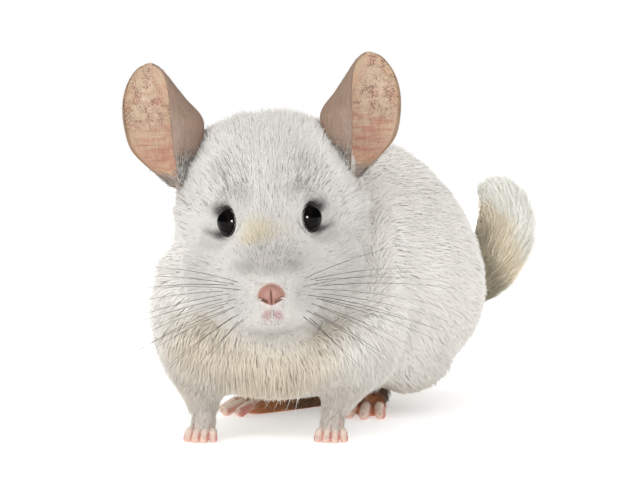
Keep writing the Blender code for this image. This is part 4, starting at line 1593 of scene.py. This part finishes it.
def hairs(name, runs, colours, material, sides=5):
    """Long tapering hairs, each along its points with a radius at its root."""
    points, faces, tones = [], [], []
    for (line, radius), colour in zip(runs, colours):
        last = len(line) - 1
        along = unit(np.gradient(line, axis=0))
        side = unit(np.cross(along, NEVER_ALONG))
        over = np.cross(along, side)
        faces += stalk_faces(len(points), last, sides)
        for i in range(last):
            size = radius * (1 - 0.85 * (i / last) ** 1.2)
            points += ring(line[i], side[i], over[i], size, sides)
        points += [line[0] - along[0] * radius, line[-1]]
        tones += [colour] * (last * sides + 2)
    made = make_mesh(name, np.array(points), np.array(faces))
    set_colours(made, np.array(tones))
    made.data.materials.append(material)
    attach(made, "root")
    return made


def bent_line(root, way, length, droop, sweep, steps=14):
    """A line that leaves the root this way and bends by droop downwards and by sweep backwards."""
    t = np.linspace(0, 1, steps)[:, None]
    down = np.array((0, 0, -1.0))
    back = np.array(HEAD_TURN.to_3x3() @ Vector((0, 1, 0)))
    return root + unit(way) * length * t + (down * droop + back * sweep) * length * t**2


# Whiskers of one side: X and Z of the root on the muzzle, degrees over the level, and length,
# all in millimetres.
WHISKERS = (
    (12.8, -23.6, 17, 43), (14.2, -24.4, 9, 52), (16.4, -25.0, 3, 56), (12.2, -26.4, 6, 50),
    (18.4, -27.6, -3, 60), (15.6, -28.0, -7, 57), (18.8, -30.6, -10, 60), (13.4, -29.8, -13, 52),
    (16.6, -31.8, -16, 58), (18.6, -33.4, -19, 56), (14.4, -33.2, -23, 52), (17.0, -35.0, -27, 50),
    (12.6, -35.6, -31, 44), (15.2, -37.0, -35, 42), (11.0, -37.6, -43, 33), (13.6, -38.8, -50, 27),
)
BROWS = ((15.0, 9.2, 16, 28), (16.4, 8.8, 24, 22), (13.6, 9.8, 6, 19), (17.6, 8.0, 36, 16))


def on_muzzle(skin_tree, side, x, z):
    """A point of the skin seen from the front at this place, in millimetres in the head's frame."""
    start = HEAD_PLACE @ Vector((side * x * MM, -0.060, z * MM))
    ahead = HEAD_TURN.to_3x3() @ Vector((0, 1, 0))
    return np.array(skin_tree.ray_cast(start, ahead)[0])


def make_whiskers(skin_tree):
    """Whiskers on both sides of the muzzle, and the long hairs over the eyes."""
    runs, colours = [], []
    for side in (1, -1):
        for x, z, angle, length in WHISKERS:
            root = on_muzzle(skin_tree, side, x, z) + turned(HEAD_TURN, [(0, 0.0006, 0)])[0]
            rise = math.radians(angle + 3 + RANDOM.normal(0, 1.5))
            away = Vector((side * math.cos(rise), RANDOM.uniform(0.02, 0.22), math.sin(rise)))
            size = (length + RANDOM.normal(0, 2)) * MM
            line = bent_line(root, turned(HEAD_TURN, [away])[0], size, RANDOM.uniform(0.10, 0.17), 0.14)
            runs.append((line, 0.00012 + 0.00004 * RANDOM.random()))
            shade = RANDOM.uniform(35, 95)
            colours.append(linear((shade, shade * 0.95, shade * 0.9)))
        for x, z, out, length in BROWS:
            root = on_muzzle(skin_tree, side, x, z)
            lean = math.radians(out)
            away = turned(HEAD_TURN, [(side * math.sin(lean), -0.30, math.cos(lean))])[0]
            runs.append((bent_line(root, away, length * MM, 0.0, 0.20), 0.00007))
            colours.append(linear((90, 84, 80)))
    n = Nodes("whisker")
    look = n.finish(
        n.attribute("coat"), n.grain(400.0), (0.7, 1.2), n.grain(900.0), (0.3, 0.5),
        n.grain(3000.0), 0.1, 0.0001,
    )
    hairs("whiskers", runs, colours, look)


# Long white hairs that hang from the belly between the paws: root, slant to the side, and length.
BELLY_HAIRS = (
    ((0.0112, 0.0010), -0.90, 0.020), ((0.0134, 0.0020), -0.40, 0.018), ((0.0169, 0.0035), -0.05, 0.021),
    ((0.0150, 0.0040), -0.25, 0.017), ((0.0100, 0.0030), -0.60, 0.016),
)


def make_belly_hairs(skin_tree):
    runs, colours = [], []
    for (x, y), slant, length in BELLY_HAIRS:
        start = Vector((x, y, 0.0)) + Vector((SHIFT.x, SHIFT.y, 0.001))
        hit = skin_tree.ray_cast(start, Vector((0, 0, 1)))[0]
        if hit is None:
            continue
        root = np.array(hit)
        away = unit(np.array((slant, -0.35, -1.0)))
        line = bent_line(root, away, min(length, (root[2] - 0.0015) / -away[2]), 0.0, 0.0)
        runs.append((line, 0.00016))
        colours.append(linear((244, 242, 238)))
    if runs:
        hairs("belly_hairs", runs, colours, coat_material("belly_hair"))


# Stage

# The camera's place in the solids' drawing, the way it looks, and its focal length in pixels of
# a picture of this width.
CAMERA_PLACE = (0.32156, -0.81753, 0.130)
CAMERA_YAW, CAMERA_PITCH = math.radians(20), math.radians(3.2)
FOCAL_PIXELS, PICTURE_PIXELS = 2125, 630
SENSOR_WIDTH = 36


def add_light(name, place, target, size, power, glossy=True):
    light = bpy.data.lights.new(name, "AREA")
    light.size, light.energy = size, power
    made = linked(name, light)
    made.location = place
    made.rotation_mode = "QUATERNION"
    made.rotation_quaternion = (Vector(target) - Vector(place)).to_track_quat("-Z", "Y")
    made.visible_glossy = glossy
    return made


def set_stage():
    """Camera, pale floor, white surroundings and soft lights."""
    scene = bpy.context.scene
    yaw, pitch = CAMERA_YAW, CAMERA_PITCH
    lens = bpy.data.cameras.new("camera")
    lens.sensor_width = SENSOR_WIDTH
    lens.lens = FOCAL_PIXELS * SENSOR_WIDTH / PICTURE_PIXELS
    camera = linked("camera", lens)
    camera.location = Vector(CAMERA_PLACE) + SHIFT
    forward = Vector((-math.sin(yaw) * math.cos(pitch), math.cos(yaw) * math.cos(pitch), -math.sin(pitch)))
    camera.rotation_mode = "QUATERNION"
    camera.rotation_quaternion = forward.to_track_quat("-Z", "Y")
    scene.camera = camera

    bpy.ops.mesh.primitive_plane_add(size=16, location=(0, 0, 0))
    floor = bpy.context.active_object
    floor.name = "floor"
    n = Nodes("floor")
    n.into("Base Color", n.shaded(n.tint((0.9, 0.9, 0.9)), n.grain(30.0), (0.99, 1.01)))
    n.shader.inputs["Roughness"].default_value = 0.9
    n.shader.inputs["Specular IOR Level"].default_value = 0.1
    n.shader.inputs["Emission Color"].default_value = (1, 1, 1, 1)
    n.shader.inputs["Emission Strength"].default_value = 0.40
    floor.data.materials.append(n.made)

    world = bpy.data.worlds.new("surroundings")
    world.use_nodes = True
    world.node_tree.nodes["Background"].inputs["Color"].default_value = (1, 1, 1, 1)
    world.node_tree.nodes["Background"].inputs["Strength"].default_value = 1.0
    world.cycles_visibility.glossy = False
    scene.world = world
    scene.view_settings.view_transform = "Standard"
    right = Vector((math.cos(yaw), math.sin(yaw), 0))
    sparkle = add_light("sparkle", camera.location + Vector((0, 0, 0.05)), (0, -0.05, 0.07), 0.22, 15)
    sparkle.visible_diffuse = False
    add_light("left", -0.8 * right + Vector((0.1, -0.6, 0.9)), (0, 0, 0.06), 0.8, 3.5, glossy=False)


def main():
    skin, tips = make_skin()
    skin_tree = tree_of(skin)
    layout = grow_coat(skin, tips)
    bpy.data.objects.remove(tips)
    assemble_skin(skin)
    make_eye("eye_left", 1)
    make_eye("eye_right", -1)
    nose, grid = make_nose(skin_tree)
    lip_parts = [lip_tufts(nose, grid, layout)]
    coat_piece("coat_lip", lip_parts, bpy.data.materials["coat_head"])
    make_claws()
    make_whiskers(skin_tree)
    make_belly_hairs(skin_tree)
    set_stage()


main()
